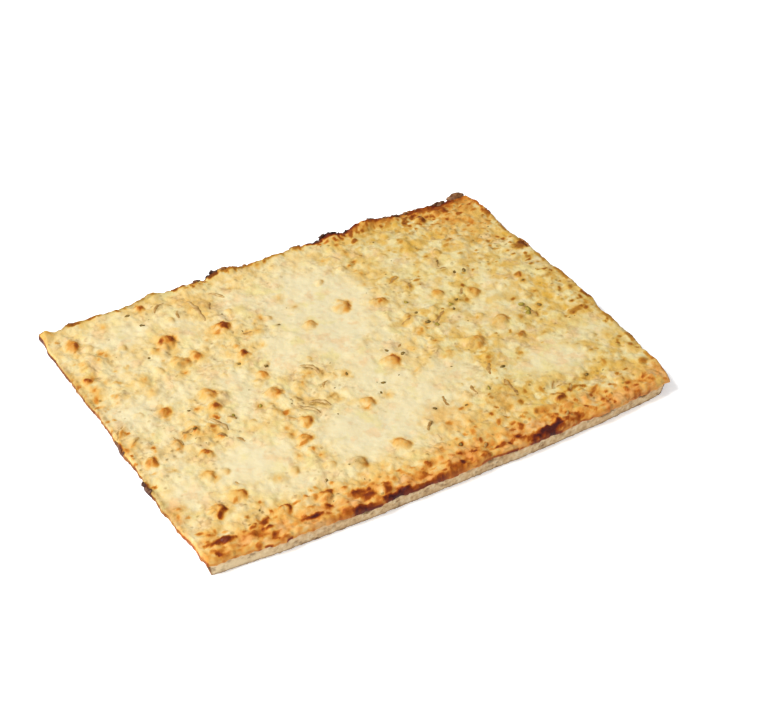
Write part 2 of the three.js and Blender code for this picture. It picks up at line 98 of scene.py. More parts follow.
# Browned and burnt marks: x, y, length, width, turn in degrees, and how far each is browned
BAKED_MARKS = [
    # Back left
    (-185, 124, 17, 13, 70, 0.5), (-182, 122, 15, 5, 62, 0.7), (-118, 140, 8, 6, 40, 0.66),
    (-119, 145, 7, 6, 0, 0.46), (-154, 133, 8, 6, 70, 0.38), (-193, 76, 7, 6, 0, 0.74),
    (-188, 76, 11, 3, 70, 0.52), (-195, 53, 11, 5, 80, 0.54), (-192, 63, 4, 3, 0, 0.52),
    (-181, 67, 8, 6, 30, 0.34), (-169, 104, 6, 3, 0, 0.56), (-174, 96, 9, 4, 70, 0.44),
    (-166, 100, 5, 3, 60, 0.48), (-187, 96, 4, 4, 0, 0.38), (-187, 90, 4, 4, 0, 0.38),
    (-146, 94, 6, 5, 0, 0.34), (-155, 55, 14, 9, 75, 0.34), (-152, 55, 13, 3, 70, 0.42),
    (-180, 47, 6, 4, 70, 0.44), (-122, 91, 8, 6, 40, 0.78), (-114, 90, 13, 6, -70, 0.68),
    (-128, 85, 5, 4, 30, 0.46), (-104, 61, 9, 6, 50, 0.56), (-121, 49, 6, 3, 10, 0.52),
    (-70, 83, 10, 8, 50, 0.82), (-77, 80, 10, 6, 20, 0.5), (-89, 76, 6, 5, 20, 0.38),
    (-154, 40, 9, 6, 40, 0.36), (-195, 42, 10, 4, -20, 0.36), (-183, 40, 4, 4, 0, 0.38),
    (-80, 36, 5, 3, 70, 0.46), (-82, 154, 6, 4, 60, 0.6), (-174, 152, 12, 4, 0, 0.66),
    (-161, 151, 8, 3, 0, 0.6), (-196, 147, 8, 4, -40, 0.46), (-188, 110, 22, 14, 90, 0.26),
    # Back middle
    (-57, 68, 7, 3, -20, 0.5), (-48, 66, 9, 5, 0, 0.42), (-60, 62, 6, 5, 0, 0.32),
    (-38, 81, 8, 3, 80, 0.46), (-43, 80, 8, 8, 0, 0.3), (-8, 53, 16, 7, 62, 0.35),
    (-12, 98, 12, 5, 80, 0.32), (-7, 80, 8, 7, 40, 0.34), (44, 125, 8, 5, 20, 0.42),
    (-41, 132, 5, 5, 0, 0.38), (-48, 100, 15, 10, 0, 0.2), (20, 130, 30, 18, 85, 0.2),
    (3, 140, 16, 14, 0, 0.22), (64, 93, 14, 8, 70, 0.42), (58, 78, 9, 5, 60, 0.4), (62, 100, 5, 3, 0, 0.48),
    (67, 112, 5, 4, 0, 0.58), (67, 128, 24, 6, 85, 0.42), (66, 140, 8, 5, 85, 0.52),
    (-65, 151, 6, 5, 0, 0.62), (-61, 147, 7, 5, 0, 0.44), (-25, 153, 12, 4, -10, 0.58),
    (-14, 151, 10, 4, 0, 0.5), (-6, 148, 6, 4, 0, 0.48), (-34, 155, 10, 4, 0, 0.6),
    (36, 150, 6, 3, 80, 0.56), (28, 61, 9, 5, -60, 0.36), (56, 49, 6, 4, 40, 0.58),
    (-71, 45, 9, 7, 60, 0.8), (-53, 48, 7, 4, 60, 0.34),
    # Back right
    (83, 145, 10, 5, 80, 0.7), (82, 136, 8, 6, 10, 0.68), (109, 156, 9, 5, 0, 0.7),
    (123, 153, 8, 4, 0, 0.74), (132, 152, 10, 5, -10, 0.66), (150, 151, 22, 5, 0, 0.62),
    (165, 150, 6, 4, 80, 0.84), (170, 145, 17, 12, 0, 0.72), (181, 148, 7, 5, 0, 0.84),
    (127, 146, 14, 10, 0, 0.44), (137, 143, 5, 4, 0, 0.62), (147, 140, 13, 5, -25, 0.84),
    (147, 131, 10, 8, 0, 0.44), (178, 120, 42, 28, 0, 0.42), (186, 112, 20, 6, 75, 0.5),
    (170, 118, 8, 6, 80, 0.46), (192, 130, 6, 5, 40, 0.52), (175, 106, 6, 5, 0, 0.46),
    (198, 130, 30, 8, 85, 0.44), (115, 114, 6, 5, 60, 0.5), (110, 105, 16, 6, 60, 0.38),
    (123, 86, 6, 4, 50, 0.52), (117, 92, 10, 8, 60, 0.36), (151, 90, 14, 12, 0, 0.38),
    (152, 97, 5, 4, 40, 0.5), (168, 85, 15, 6, 40, 0.42), (182, 80, 7, 4, 20, 0.54),
    (179, 72, 6, 4, 60, 0.46), (193, 82, 7, 3, 80, 0.6), (195, 76, 5, 4, 0, 0.66),
    (201, 60, 17, 13, 20, 0.66), (204, 63, 9, 7, 20, 0.82), (204, 122, 6, 3, 80, 0.72),
    (127, 73, 11, 6, 70, 0.34), (125, 62, 10, 3, 0, 0.38), (81, 71, 11, 4, 30, 0.52),
    (90, 57, 13, 4, 68, 0.48), (106, 71, 6, 5, 0, 0.4), (163, 49, 6, 4, 60, 0.46),
    (155, 65, 12, 10, 0, 0.28), (95, 140, 40, 20, 0, 0.3), (146, 118, 16, 8, 0, 0.3),
    (170, 60, 30, 16, 0, 0.26), (140, 153, 70, 9, 0, 0.56), (160, 151, 56, 9, 0, 0.64),
    (192, 143, 18, 10, 0, 0.5),
    # Middle left
    (-157, 12, 11, 9, 70, 0.54), (-155, 15, 10, 3, -60, 0.64), (-119, 14, 16, 14, 0, 0.36),
    (-113, 13, 6, 4, 80, 0.48), (-120, -4, 9, 7, 35, 0.74), (-134, 3, 6, 4, 0, 0.54),
    (-125, -14, 7, 3, -60, 0.66), (-132, -23, 7, 5, 0, 0.6), (-134, -27, 9, 8, 0, 0.4),
    (-131, -35, 8, 4, -50, 0.64), (-90, -18.5, 5, 5, 0, 0.5), (-82, -20, 8, 3, -15, 0.38),
    (-77, -35, 8, 6, 30, 0.58), (-82, -30, 6, 3, 0, 0.42), (-75, -11, 16, 9, 80, 0.4),
    (-70, 15, 11, 5, 62, 0.5), (-145.5, -19, 5, 3, 70, 0.72), (-151, -18, 11, 2.5, 5, 0.52),
    (-155, -21, 8, 3, 55, 0.46), (-166, -33, 9, 2.5, 5, 0.44), (-181, -21, 6, 4, 80, 0.62),
    (-182, -27, 8, 3, 75, 0.42), (-192, -36, 8, 6, 20, 0.5), (-187, -36, 9, 3, 62, 0.64),
    (-150, -48, 7, 4, -65, 0.68), (-85, -52, 8, 6, 20, 0.42), (-195, 5, 17, 3.5, 52, 0.5),
    (-193, -12, 13, 4, 45, 0.46), (-200, -15, 7, 5, 70, 0.56), (-181, 46, 5, 4, 70, 0.44),
    (-155, 35, 8, 8, 0, 0.28), (-203, -8, 15, 4, 90, 0.88), (-204, -58, 16, 5, 90, 0.92),
    (-196, -30, 22, 8, 85, 0.34), (-103, -40, 40, 12, 0, 0.22), (-140, -27, 34, 20, 0, 0.24),
    # Middle
    (-36, 4, 12, 3, -40, 0.3), (-30, -5, 9, 4, -75, 0.42), (-38, -2, 10, 6, 0, 0.4),
    (-49, -10, 10, 4, 75, 0.44), (-44, -4, 9, 4, 20, 0.38), (-14, -18, 5, 4, 60, 0.52),
    (-61, -26, 7, 4, -50, 0.38), (-52, -35, 9, 3, 20, 0.34), (-46, -40, 12, 3, -60, 0.32),
    (-36, -34, 7, 3, 10, 0.42), (-34, -40, 8, 8, 0, 0.3), (-55, -31, 26, 16, -10, 0.32),
    (25, -24, 12, 9, 42, 0.44), (30, -20, 12, 3, -80, 0.46), (47, -16, 18, 14, 50, 0.3),
    (62, -2, 12, 9, 50, 0.38), (66, 0, 8, 4, 70, 0.48), (68, -17, 6, 3, -15, 0.52),
    (55, -30, 15, 8, 10, 0.3), (70, -36, 20, 12, 80, 0.4), (65, 22, 11, 8, 0, 0.32),
    (63, 18, 14, 2.5, 5, 0.44), (23, 12, 5, 5, 0, 0.26), (-16, -57, 12, 8, 60, 0.44),
    (-68, -50, 4, 4, 0, 0.58), (2, -55, 6, 4, 75, 0.4), (35, -42, 11, 3, 25, 0.32),
    (-20, -61, 9, 2.5, 0, 0.48), (-60, -22, 30, 10, 40, 0.24),
    # Middle right
    (67, 21, 7, 4, 15, 0.52), (104, 36, 13, 9, 20, 0.44), (128, 36, 5, 4, 45, 0.66),
    (130, 24, 13, 12, 0, 0.4), (121, 18, 7, 5, 60, 0.54), (112, 21, 5, 4, 40, 0.5),
    (105, 18, 9, 6, 30, 0.42), (93, 11, 5, 4, 40, 0.52), (87, 9, 9, 4, 60, 0.46), (81, -1, 7, 4, 15, 0.46),
    (103, 10, 4, 3, 60, 0.52), (76, 7, 6, 4, 30, 0.52), (114, -8, 7, 4, 15, 0.42),
    (87, -17, 6, 5, 60, 0.36), (153, -2, 7, 4, 35, 0.6), (175, -2, 5, 4, 60, 0.5),
    (174, -8, 9, 6, 70, 0.42), (159, -28, 9, 3, 68, 0.6), (168, -18.5, 5, 4, 30, 0.68),
    (175, 24, 7, 6, 0, 0.56), (174.5, 15, 5, 4, 0, 0.52), (93, -35, 20, 12, 10, 0.4),
    (103, -30, 12, 5, 70, 0.44), (131, -46, 11, 6, 58, 0.54), (145, -26, 10, 6, 42, 0.46),
    (194.5, -9, 7, 3, 80, 0.6), (196, 4, 6, 3, 60, 0.44), (203, -12, 9, 5, 70, 0.52),
    (203, -27, 9, 3, 75, 0.72), (190, -40, 24, 8, 8, 0.54), (186, -42, 7, 5, 20, 0.64),
    (198, -42, 5, 5, 0, 0.7), (203, -35, 9, 5, 70, 0.52), (150, -52, 5, 3, 0, 0.42),
    (172, -42, 12, 8, 60, 0.34), (160, 41, 7, 4, 0, 0.42), (197, 43, 6, 3, 70, 0.5),
    (154, 24, 7, 5, 60, 0.34), (92, -58, 7, 6, 20, 0.5), (150, 8, 50, 20, 20, 0.24),
    (110, -48, 44, 14, 5, 0.24), (200, 10, 30, 10, 85, 0.38),
    # Front left
    (-157, -72, 9, 3, -65, 0.48), (-161, -68, 10, 9, 0, 0.28), (-151, -99, 12, 10, 30, 0.36),
    (-155, -104, 7, 2.5, 25, 0.52), (-194, -92, 8, 3, 5, 0.56), (-198, -99, 9, 3, 65, 0.54),
    (-168, -105, 14, 4, -75, 0.6), (-171.5, -113, 7, 5, 60, 0.86), (-140.5, -114, 6, 3, 75, 0.6),
    (-116, -99, 8, 6, 60, 0.38), (-92, -84, 12, 5, 80, 0.42), (-80, -69, 13, 9, 20, 0.42),
    (-82, -74, 11, 3, 12, 0.54), (-79.5, -83, 5, 3, 70, 0.54), (-78, -92, 5, 3, 70, 0.5),
    (-85, -60, 6, 3, 20, 0.46), (-182, -125, 6, 3, 75, 0.54), (-187, -124, 17, 8, 0, 0.4),
    (-183, -136, 27, 7, 2, 0.92), (-178, -138, 18, 6, 6, 0.86), (-194, -136, 7, 5, 0, 0.62),
    (-192, -143, 7, 5, 60, 0.62), (-185, -150, 8, 5, -40, 0.46), (-164, -136.5, 5, 3, 20, 0.52),
    (-154, -133, 6, 3, 70, 0.62), (-147, -134, 13, 7, 35, 0.82), (-151, -140, 4, 3, 50, 0.58),
    (-138, -127, 6, 2.5, -75, 0.62), (-135, -128, 10, 4, 80, 0.42), (-125, -128, 9, 3.5, -50, 0.84),
    (-130, -127, 6, 3, 40, 0.72), (-103, -130, 12, 5, 70, 0.5), (-98, -136, 11, 8, 0, 0.48),
    (-92, -130, 9, 5, 62, 0.7), (-158, -148, 11, 7, 80, 0.6), (-146, -149, 11, 6, 65, 0.7),
    (-137, -149, 13, 8, 0, 0.5), (-113, -147, 22, 7, 0, 0.76), (-122, -146, 8, 4, 10, 0.58),
    (-104, -149, 8, 4, 0, 0.62), (-86, -147, 6, 4, 50, 0.54), (-75, -141, 18, 11, 0, 0.82),
    (-70, -148, 20, 10, 15, 0.76), (-140, -154, 10, 4, 0, 0.66), (-125, -153, 30, 5, 0, 0.52),
    (-150, -120, 60, 8, 0, 0.24),
    # Front middle
    (-66, -142, 6, 4, 70, 0.76), (-53, -147, 14, 9, 60, 0.74), (-45, -143, 9, 7, 60, 0.5),
    (-46, -156, 46, 7, 0, 0.92), (-78, -156, 24, 6, 0, 0.88), (-24, -157, 32, 6, 0, 0.86),
    (-4, -157.5, 24, 4, 0, 0.64), (-34, -144, 5, 4, 20, 0.52), (-15, -142, 6, 4, 0, 0.42),
    (-2, -147, 11, 5, -15, 0.68), (8, -152, 7, 5, 55, 0.74), (3, -131, 7, 4, 60, 0.46),
    (17.5, -134.5, 6, 4, 40, 0.74), (18, -128, 7, 4, 70, 0.5), (33, -128, 14, 5, 80, 0.56),
    (33, -138, 7, 4, 70, 0.64), (34, -144, 8, 4, 42, 0.7), (36, -123, 30, 14, 0, 0.36),
    (24, -108, 9, 7, 20, 0.5), (41, -98, 6, 4, 30, 0.6), (47, -97, 4, 3, 0, 0.52),
    (57, -116, 6, 4, 70, 0.64), (56.5, -127, 9, 4, 75, 0.6), (38, -116, 12, 6, 0, 0.42),
    (52, -110, 7, 6, 0, 0.38), (28, -154, 15, 4, 0, 0.72), (45, -150, 10, 6, 20, 0.52),
    (51, -152, 6, 5, 60, 0.72), (19, -150, 12, 6, 30, 0.56), (65, -133, 9, 6, 20, 0.52),
    (-60, -127, 13, 9, 80, 0.36), (-45, -126, 11, 5, 60, 0.32), (-30, -150, 40, 8, 0, 0.52),
    # Front right
    (90, -62, 11, 8, 30, 0.42), (88, -66, 4, 3, 40, 0.58), (118, -65, 7, 6, 0, 0.46),
    (113, -69, 5, 4, 30, 0.42), (162, -79, 9, 3, 0, 0.38), (157, -74, 9, 7, 0, 0.28),
    (89, -91, 11, 3, 88, 0.62), (89, -103, 8, 3, 85, 0.46), (95, -106, 7, 4, 60, 0.52),
    (106, -112, 13, 4, 75, 0.5), (84, -116, 9, 6, 30, 0.52), (75, -115, 15, 6, 0, 0.42),
    (147, -114, 6, 4, 45, 0.56), (165, -110, 17, 8, 75, 0.4), (168, -108, 11, 2.5, 80, 0.52),
    (166, -120, 7, 6, 0, 0.42), (113, -128, 10, 5, 12, 0.84), (125, -123, 8, 5, 40, 0.7),
    (128, -119, 6, 3, 70, 0.62), (119, -124, 9, 4, 30, 0.5), (136, -136, 6, 3, 70, 0.68),
    (142, -131, 12, 6, 20, 0.56), (155, -134, 5, 3, 20, 0.64), (158, -136, 7, 5, 60, 0.6),
    (195, -124, 11, 9, 20, 0.54), (200, -135, 13, 6, 75, 0.46), (187, -137, 7, 3, 70, 0.44),
    (134, -145, 7, 3, 10, 0.56), (141, -145, 6, 4, 40, 0.58), (140, -150, 18, 5, 0, 0.52),
    (163, -145, 11, 6, 75, 0.6), (189, -145, 7, 3, -70, 0.6), (197, -144, 9, 6, 0, 0.46),
    (88, -131, 9, 6, 20, 0.52), (78, -137, 5, 3, 60, 0.6), (107, -145, 6, 4, 50, 0.6),
    (101, -149, 6, 3, 30, 0.62), (113, -153, 11, 4, 0, 0.56), (82, -154, 42, 9, 3, 1),
    (97, -149, 10, 7, 70, 0.92), (200, -100, 7, 5, 75, 0.56), (194, -91, 6, 3, 75, 0.52),
    (172, -90, 9, 6, 20, 0.36), (192, -80, 9, 6, 70, 0.36), (150, -140, 90, 22, 0, 0.34),
    (175, -150, 40, 8, 5, 0.46), (180, -120, 40, 24, 0, 0.3), (100, -135, 50, 18, 0, 0.34),
    (86, -152, 44, 9, 4, 0.98),
    # Broad golden areas
    (175, 138, 50, 16, 0, 0.44), (150, 141, 40, 12, 0, 0.4), (-75, 120, 44, 54, 0, 0.3),
    (-78, 85, 44, 40, 0, 0.26), (-72, 50, 44, 40, 0, 0.23), (25, -112, 64, 34, 0, 0.34),
    (75, -105, 54, 44, 0, 0.37), (-75, -105, 44, 36, 0, 0.18), (-20, 138, 80, 28, 0, 0.2),
    (30, 138, 64, 28, 0, 0.21), (128, 150, 50, 8, 0, 0.56), (165, 149, 54, 10, 0, 0.66),
    (180, 148, 26, 9, 0, 0.8), (-150, 135, 60, 22, 0, 0.16), (125, -105, 50, 30, 0, 0.28),
    (-117, 61, 28, 19, 0, 0.34), (-186, 60, 30, 20, 80, 0.18), (-154, 50, 16, 12, 70, 0.3),
    (75, 140, 50, 30, 0, 0.3), (75, 100, 50, 44, 0, 0.25), (75, 62, 50, 40, 0, 0.23),
    (25, -98, 60, 40, 0, 0.32), (180, 105, 44, 60, 0, 0.31), (-87, 138, 54, 26, 0, 0.29),
    (190, 132, 34, 30, 0, 0.44), (176, 128, 40, 20, 0, 0.42),
]

# Zones of small browned or olive marks at random places, the smallest partly painted shade: least and most x,
# then y, count, least and most strength, and size
MARK_ZONES = [
    (-200, 200, -154, -138, 66, 0.44, 0.7, 1.5), (-200, 200, -138, -120, 40, 0.42, 0.66, 1.2),
    (60, 200, 143, 154, 50, 0.5, 0.8, 1.2), (130, 198, 125, 146, 40, 0.44, 0.72, 1.2),
    (-196, 60, 147, 155, 40, 0.42, 0.7, 1), (192, 206, -150, 140, 56, 0.36, 0.7, 0.9),
    (-204, -190, -140, 145, 22, 0.4, 0.66, 0.9), (60, 190, -118, -60, 26, 0.38, 0.68, 0.7),
    (60, 190, -60, 25, 14, 0.38, 0.66, 0.7), (60, 190, 25, 128, 34, 0.38, 0.68, 0.7),
    (60, 190, -118, -60, 18, 0.3, 0.5, 1.7), (60, 190, -60, 25, 12, 0.28, 0.44, 1.7),
    (60, 190, 25, 128, 18, 0.3, 0.5, 1.7), (-190, -60, -60, 110, 30, 0.28, 0.44, 1.5),
    (-195, 40, -110, 140, 16, 0.38, 0.6, 0.7),
]
OLIVE_ZONES = [(-195, 60, -70, 140, 60, 0.26, 0.50, 1.3), (60, 195, -110, 130, 60, 0.34, 0.64, 1.2)]
MARK_LENGTH = (3, 6.5)
MARK_WIDTH = (1.5, 3.2)
# The marks lie across the camera's line of sight, as the shaded far edges of small bubbles do: browning mixed
# with painted shade
MARK_TURN = (-75, 15)
MARK_SEED = 211
OLIVE_SEED = 223

# Olive marks, where onion or herbs show through: x, y, length, width, turn in degrees, strength
OLIVE_MARKS = [
    (-105, 134, 14, 3, 35, 0.7), (-94, 118, 10, 3, 75, 0.6), (-66, 117, 13, 3, 65, 0.5),
    (-144, 50, 5, 4, 0, 0.6), (-163, 46, 5, 3, 60, 0.5), (-150, 36, 7, 4, 70, 0.5),
    (-190, 10, 15, 3, 50, 0.5), (-188, -8, 11, 4, 40, 0.6), (-177, 0, 9, 2, -80, 0.5),
    (-192, 13, 4, 3, 0, 0.6), (-162, -24, 15, 2.5, -82, 0.6), (-147, -32, 10, 7, 70, 0.3),
    (-113, -19, 6, 4, -50, 0.8), (-127, -24, 13, 3, -72, 0.8), (-90, -18.5, 5, 5, 0, 0.6),
    (-103, -30, 6, 4, 70, 0.35), (-121, -46, 8, 4, -60, 0.55), (-37, -19, 7, 3, 0, 0.5),
    (-31, -20, 6, 3, 60, 0.5), (-6, -6, 15, 2.5, -75, 0.3), (-60, -41, 18, 3, -55, 0.65),
    (-14, -26, 8, 4, 20, 0.3), (10, -104, 13, 3, 45, 0.6), (-57, -114, 13, 12, 0, 0.7),
    (-85, -106, 15, 3, 80, 0.4), (-146, -88, 7, 2.5, -80, 0.5), (75, 39, 7, 6, 0, 0.5),
    (105, 18, 9, 6, 20, 0.6), (87, 9, 9, 4, 60, 0.6), (81, -1, 7, 4, 10, 0.6), (156, -14, 10, 5, 85, 1),
    (154, -24, 9, 3, -60, 0.8), (159, -28, 9, 3, 70, 0.7), (128, 72, 10, 5, 70, 0.5),
    (125, 62, 10, 3, 0, 0.4), (183, 55, 7, 3, 80, 0.5), (147, -114, 5, 4, 30, 0.8),
    (118, -111, 10, 3, 55, 0.7), (158, -63, 4, 3, 0, 0.5), (153, -125, 6, 4, 60, 0.5),
    (72, -89.5, 7, 3, 25, 0.9), (41, -7, 6, 2.5, 40, 0.6), (63, 17, 14, 2.5, 5, 0.4),
    (23, -89, 5, 4, 30, 0.6), (-63, 24, 4, 4, 0, 0.6), (-72, 5, 5, 4, 80, 0.5), (-31, 65, 4, 3, 20, 0.5),
    (197, 43, 5, 3, 70, 0.6), (150, -52, 4, 3, 0, 0.4), (90, 57, 12, 4, 70, 0.5), (108, 5, 7, 3, 0, 0.4),
    (-89, 64, 6, 2.5, 0, 0.5), (-7, 80, 6, 5, 40, 0.4), (-12, 96, 9, 4, 80, 0.4), (-38, 81, 7, 3, 80, 0.4),
    (-161, 44, 6, 4, 30, 0.4), (-36, 4, 13, 3, -40, 1), (-30, -5, 9, 3.5, -75, 1),
    (-61, -26, 8, 3.5, -50, 0.9), (-52, -35, 10, 3, 20, 0.9), (-46, -40, 13, 3, -60, 0.9),
    (-36, -34, 8, 3, 10, 0.8),
]

# Milky marks, paler than the cheese around them: x, y, length, width, turn in degrees, strength
MILKY_MARKS = [
    (-160, 63, 12, 10, 0, 0.6), (-66, 28, 9, 7, 0, 0.7), (-48, 82, 9, 7, 0, 0.6),
    (80, -105, 16, 11, 15, 0.8), (143, -122, 9, 7, 0, 0.7), (-130, -60, 30, 14, 10, 0.5),
    (-178, -68, 24, 16, 0, 0.6), (10, -20, 24, 14, 40, 0.4), (88, 26, 14, 10, 60, 0.5),
    (165, 8, 12, 10, 0, 0.5), (104, 52, 18, 12, 0, 0.5), (-80, -88, 6, 8, 0, 0.5),
    (-180, 22, 44, 56, 0, 0.7), (-178, -32, 44, 56, 0, 0.8), (124, -50, 50, 40, 0, 0.4),
    (-128, -134, 5, 4, 0, 0.8), (-185, -50, 12, 8, 0, 0.5), (75, 84, 12, 10, 0, 0.4),
]

BLISTER_RISE = 0.2  # height of any blister, by its breadth

# Small blisters on a shaken grid, clear of the large ones and of the smooth pools, as in the part's
# source, and the factors of its random draws
SMALL_PITCH = 40
SMALL_SHAKE = 0.8
SMALL_BREADTH = (5.5, 9.5)
SMALL_CLEARANCE = 2
SMALL_MARGIN = 12
SMALL_SEED = 4127
SMALL_BAKE = (0.12, 0.01, 0.1)  # of any, for each millimetre of breadth, and more at the edge away from the light, partly painted shade
ROUNDING_SLACK = 0.001
DRAW_FACTOR = 1664525
DRAW_STEP = 1013904223
DRAW_RANGE = 2**32

# Smooth pools: x, y, length, width
POOLS = [
    (12, 35, 95, 70), (-22, -80, 80, 45), (-110, -77, 60, 36), (130, -85, 45, 36), (-20, 120, 90, 40),
]

# Smooth areas with few marks, in the pools and between the marks: x, y, length, width, smoothness
SMOOTH_AREAS = [
    (13, 69, 100, 132, 1), (-8, -83, 140, 60, 1), (5, -28, 56, 70, 0.7), (-119, -74, 72, 46, 1),
    (-155, 27, 60, 24, 0.6), (-94, 22, 40, 28, 0.7), (-95, -12, 32, 38, 0.6), (-150, 118, 52, 32, 0.7),
    (-96, 92, 32, 46, 0.7), (-46, 108, 42, 36, 0.7), (-46, 34, 42, 46, 0.8), (-183, -83, 28, 30, 0.6),
    (-119, -106, 54, 26, 0.6), (133, -85, 68, 48, 0.9), (101, 35, 46, 24, 0.6), (152, 17, 38, 32, 0.6),
    (184, -66, 30, 46, 0.6), (92, 96, 30, 38, 0.5), (120, 74, 30, 28, 0.4), (60, -60, 50, 40, 0.6),
    (125, -8, 72, 50, 0.5),
]

# Onion strips: x, y, length, turn in degrees, bend. The broad ones are also in the part's source
BROAD_STRIP = (3.8, 1.4, -0.2, 1)  # width, thickness, height of the middle over the cheese, paleness
BROAD_STRIPS = [
    (-79, 116, 32, -87, 1), (-55, 128, 15, -48, 2), (-36, 2, 18, -60, 4), (-60, -41, 19, -55, 2),
    (-49, -38, 18, -50, 4), (-127, -22, 20, -72, 1), (-151, -19, 12, 5, 1), (36, -85, 12, 85, 1),
    (62, -85, 12, 85, 1), (89, -95, 22, 89, 1), (86, -70, 14, 65, 1), (88, 6, 22, 42, 2),
    (123, 29, 13, 52, 1), (156, -22, 17, -80, 2), (82, 71, 12, 28, 1),
]
THIN_STRIP = (2.8, 1.2, -0.25, 0.8)
THIN_STRIPS = [
    (-131, -35, 9, -50, 1), (90, 57, 13, 68, 1), (-163, -24, 14, -82, 2), (118, -111, 12, 52, 1),
    (-104, 134, 14, 33, 2), (-195, 6, 17, 52, 2), (-189, -9, 12, 38, 1), (10, -104, 13, 45, 1),
    (-94, 118, 9, 75, 1), (-66, 117, 12, 65, 1), (128, 72, 12, 70, 3), (126, 63, 10, 0, 2),
    (63, 17, 14, 5, 1), (128, -121, 9, 55, 1), (-33, -20, 9, 40, 2), (-115, -20, 7, -50, 1),
    (-57, 68, 7, -20, 1), (107, -145, 7, 50, 0), (34, -143, 8, 42, 0), (-121, -46, 8, -60, 1),
    (41, -7, 7, 40, 0), (-146, -88, 7, -80, 1),
]

# Herb flakes and pepper, then olive-green bits: x, y, size
HERB_FLAKES = [
    (139.5, 52.5, 3.6), (132, 55, 2.8), (75, 23, 3.6), (28, -9, 3.2), (36.5, -19.5, 3.4), (5.5, -41, 3.6),
    (-14, -18, 2.8), (-131, 137, 3.4), (-126, 120, 3.2), (-138, 80, 2.8), (-87.5, -117.5, 2.6),
    (95.5, -73, 3.4), (23, -89, 3.2), (47, -97, 2.4), (112, 21, 2.8), (76, 7, 3.4), (103, 10, 2.4),
    (168, -18.5, 3), (-145.5, -19, 2.6), (147, -114, 3.2), (17.5, -134.5, 2.8), (-80, 36, 2.4),
    (-30, 65, 2.2), (-2, -51, 2.2), (-63, 24, 2.6), (174, 15, 2.6), (-140, 3, 2.2),
]
GREEN_BITS = [
    (156, -10, 5.6), (157, -17, 5.2), (154, -23, 4), (72, -89.5, 3.6), (105, 18, 3.2), (81, 0, 3),
    (75, 39, 3), (-113, -18, 3), (-90, -18.5, 3),
]

# Burnt crags on the rim, by side: place along it, length, rise over the rim, and how black they are
CRAGS = {
    "back": [
        (-174, 12, 0.5, 0.6), (-82, 5, 1.8, 0.5), (-76, 4, 1.8, 1), (-64, 7, 1.4, 0.8), (-47, 8, 3, 1),
        (-39, 10, 0.9, 0.8), (-28, 18, 2.4, 0.35), (-13, 10, 0.9, 0.3), (1, 14, 0.5, 0.5),
        (34, 12, 2.6, 0.7), (54, 8, 1.4, 0.95), (63, 10, 4, 0.95), (72, 12, 3, 0.95), (83, 8, 2, 0.95),
        (92, 5, 1.2, 0.85), (108, 7, 1.6, 0.8), (122, 12, 0.8, 0.65), (134, 12, 2, 0.6), (152, 26, 1, 0.5),
        (175, 22, 2.6, 0.75),
    ],
    "left": [
        (-58, 15, 0.7, 0.78), (-8, 17, 1, 0.62),
    ],
    "right": [
        (62, 14, 2, 0.3), (121, 9, 1, 0.7),
    ],
}
CORNER_LUMP = (195, 152, 14.6, 8.5, 4.6, 4.6)  # x, y, z and half sizes of the lump in the back right corner

# Where the rim departs from its plain line, by side: place along it, length, how far out, how far up
RIM_TRIMS = {
    "left": [
        (149, 10, 3, 0.8), (124, 30, 2, 0), (95, 16, 0.8, 0), (70, 18, 1.6, 0), (35, 50, -1.4, 0),
        (-9, 14, 1.4, 0), (-30, 20, -1.4, 0), (-58, 18, 2.6, 0), (-82, 34, 1.4, 0),
    ],
    "back": [
        (-199, 8, 1.6, 1.6), (-188, 10, -0.4, -0.4), (-176, 10, 0.4, 0.6), (-160, 26, 0.8, 1.6),
        (-129, 26, -2, -0.6), (-103, 20, 1.6, 3.8), (-70, 26, 0.6, 0.8), (-55, 8, 0, -1.4),
        (-35, 22, 2.2, 4.4), (-12, 20, 0.4, 0.4), (15, 24, 1, 0.9), (45, 36, 1, 1.2), (66, 18, 1, 3),
        (82, 12, 0, -1.4), (103, 34, 2, 5.2), (130, 30, 0.8, 1), (155, 20, 0.5, 0.4),
    ],
    "right": [
        (140, 30, 5.4, 0), (114, 30, 2.8, 0), (76, 18, -1.8, 0), (35, 16, 1.4, 0), (6, 24, 2.4, 0),
        (-30, 20, 4.2, 0), (-47, 10, -1, 0), (-66, 30, 1, 0), (-97, 30, 1.4, 0), (-130, 36, 2.4, 0),
    ],
}
TRIM_DEPTH = 6  # how far in from the rim a trim fades out

# Lines along the rim, by side: place along it, length and strength. The first ones burn the lip, the
# second ones brown the rim's top, and the last ones tint it olive
LIP_MARKS = {
    "front": [
        (-154, 7, 0.72), (-138, 6, 0.8), (-74, 26, 0.88), (-38, 50, 0.84), (34, 30, 0.68), (49, 13, 0.82),
        (80, 36, 0.8), (111, 16, 0.6),
    ],
    "left": [
        (-60, 18, 0.95), (-8, 15, 0.92), (122, 26, 0.84), (148, 14, 0.88), (94, 14, 0.8), (62, 8, 0.74),
    ],
    "right": [
        (62, 14, 0.8), (121, 8, 0.85), (-27, 9, 0.75), (92, 10, 0.7), (38, 12, 0.62), (6, 12, 0.66),
        (-62, 14, 0.62), (-92, 9, 0.7), (-122, 12, 0.62), (142, 8, 0.7),
    ],
}
RIM_LINES = {
    "back": [
        (-176, 12, 0.68), (-160, 10, 0.64), (-80, 14, 0.7), (-65, 8, 0.76), (-46, 12, 0.8), (-24, 36, 0.56),
        (12, 24, 0.5), (36, 14, 0.56), (52, 18, 0.86), (68, 22, 0.9), (88, 20, 0.86), (112, 18, 0.74),
        (132, 14, 0.7), (152, 18, 0.8), (180, 26, 0.86),
    ],
    "right": [
        (137, 24, 0.6), (121, 12, 0.66), (93, 14, 0.5), (62, 16, 0.78), (38, 16, 0.48), (8, 22, 0.52),
        (-26, 12, 0.66), (-60, 20, 0.48), (-92, 14, 0.52), (-122, 14, 0.5),
    ],
}
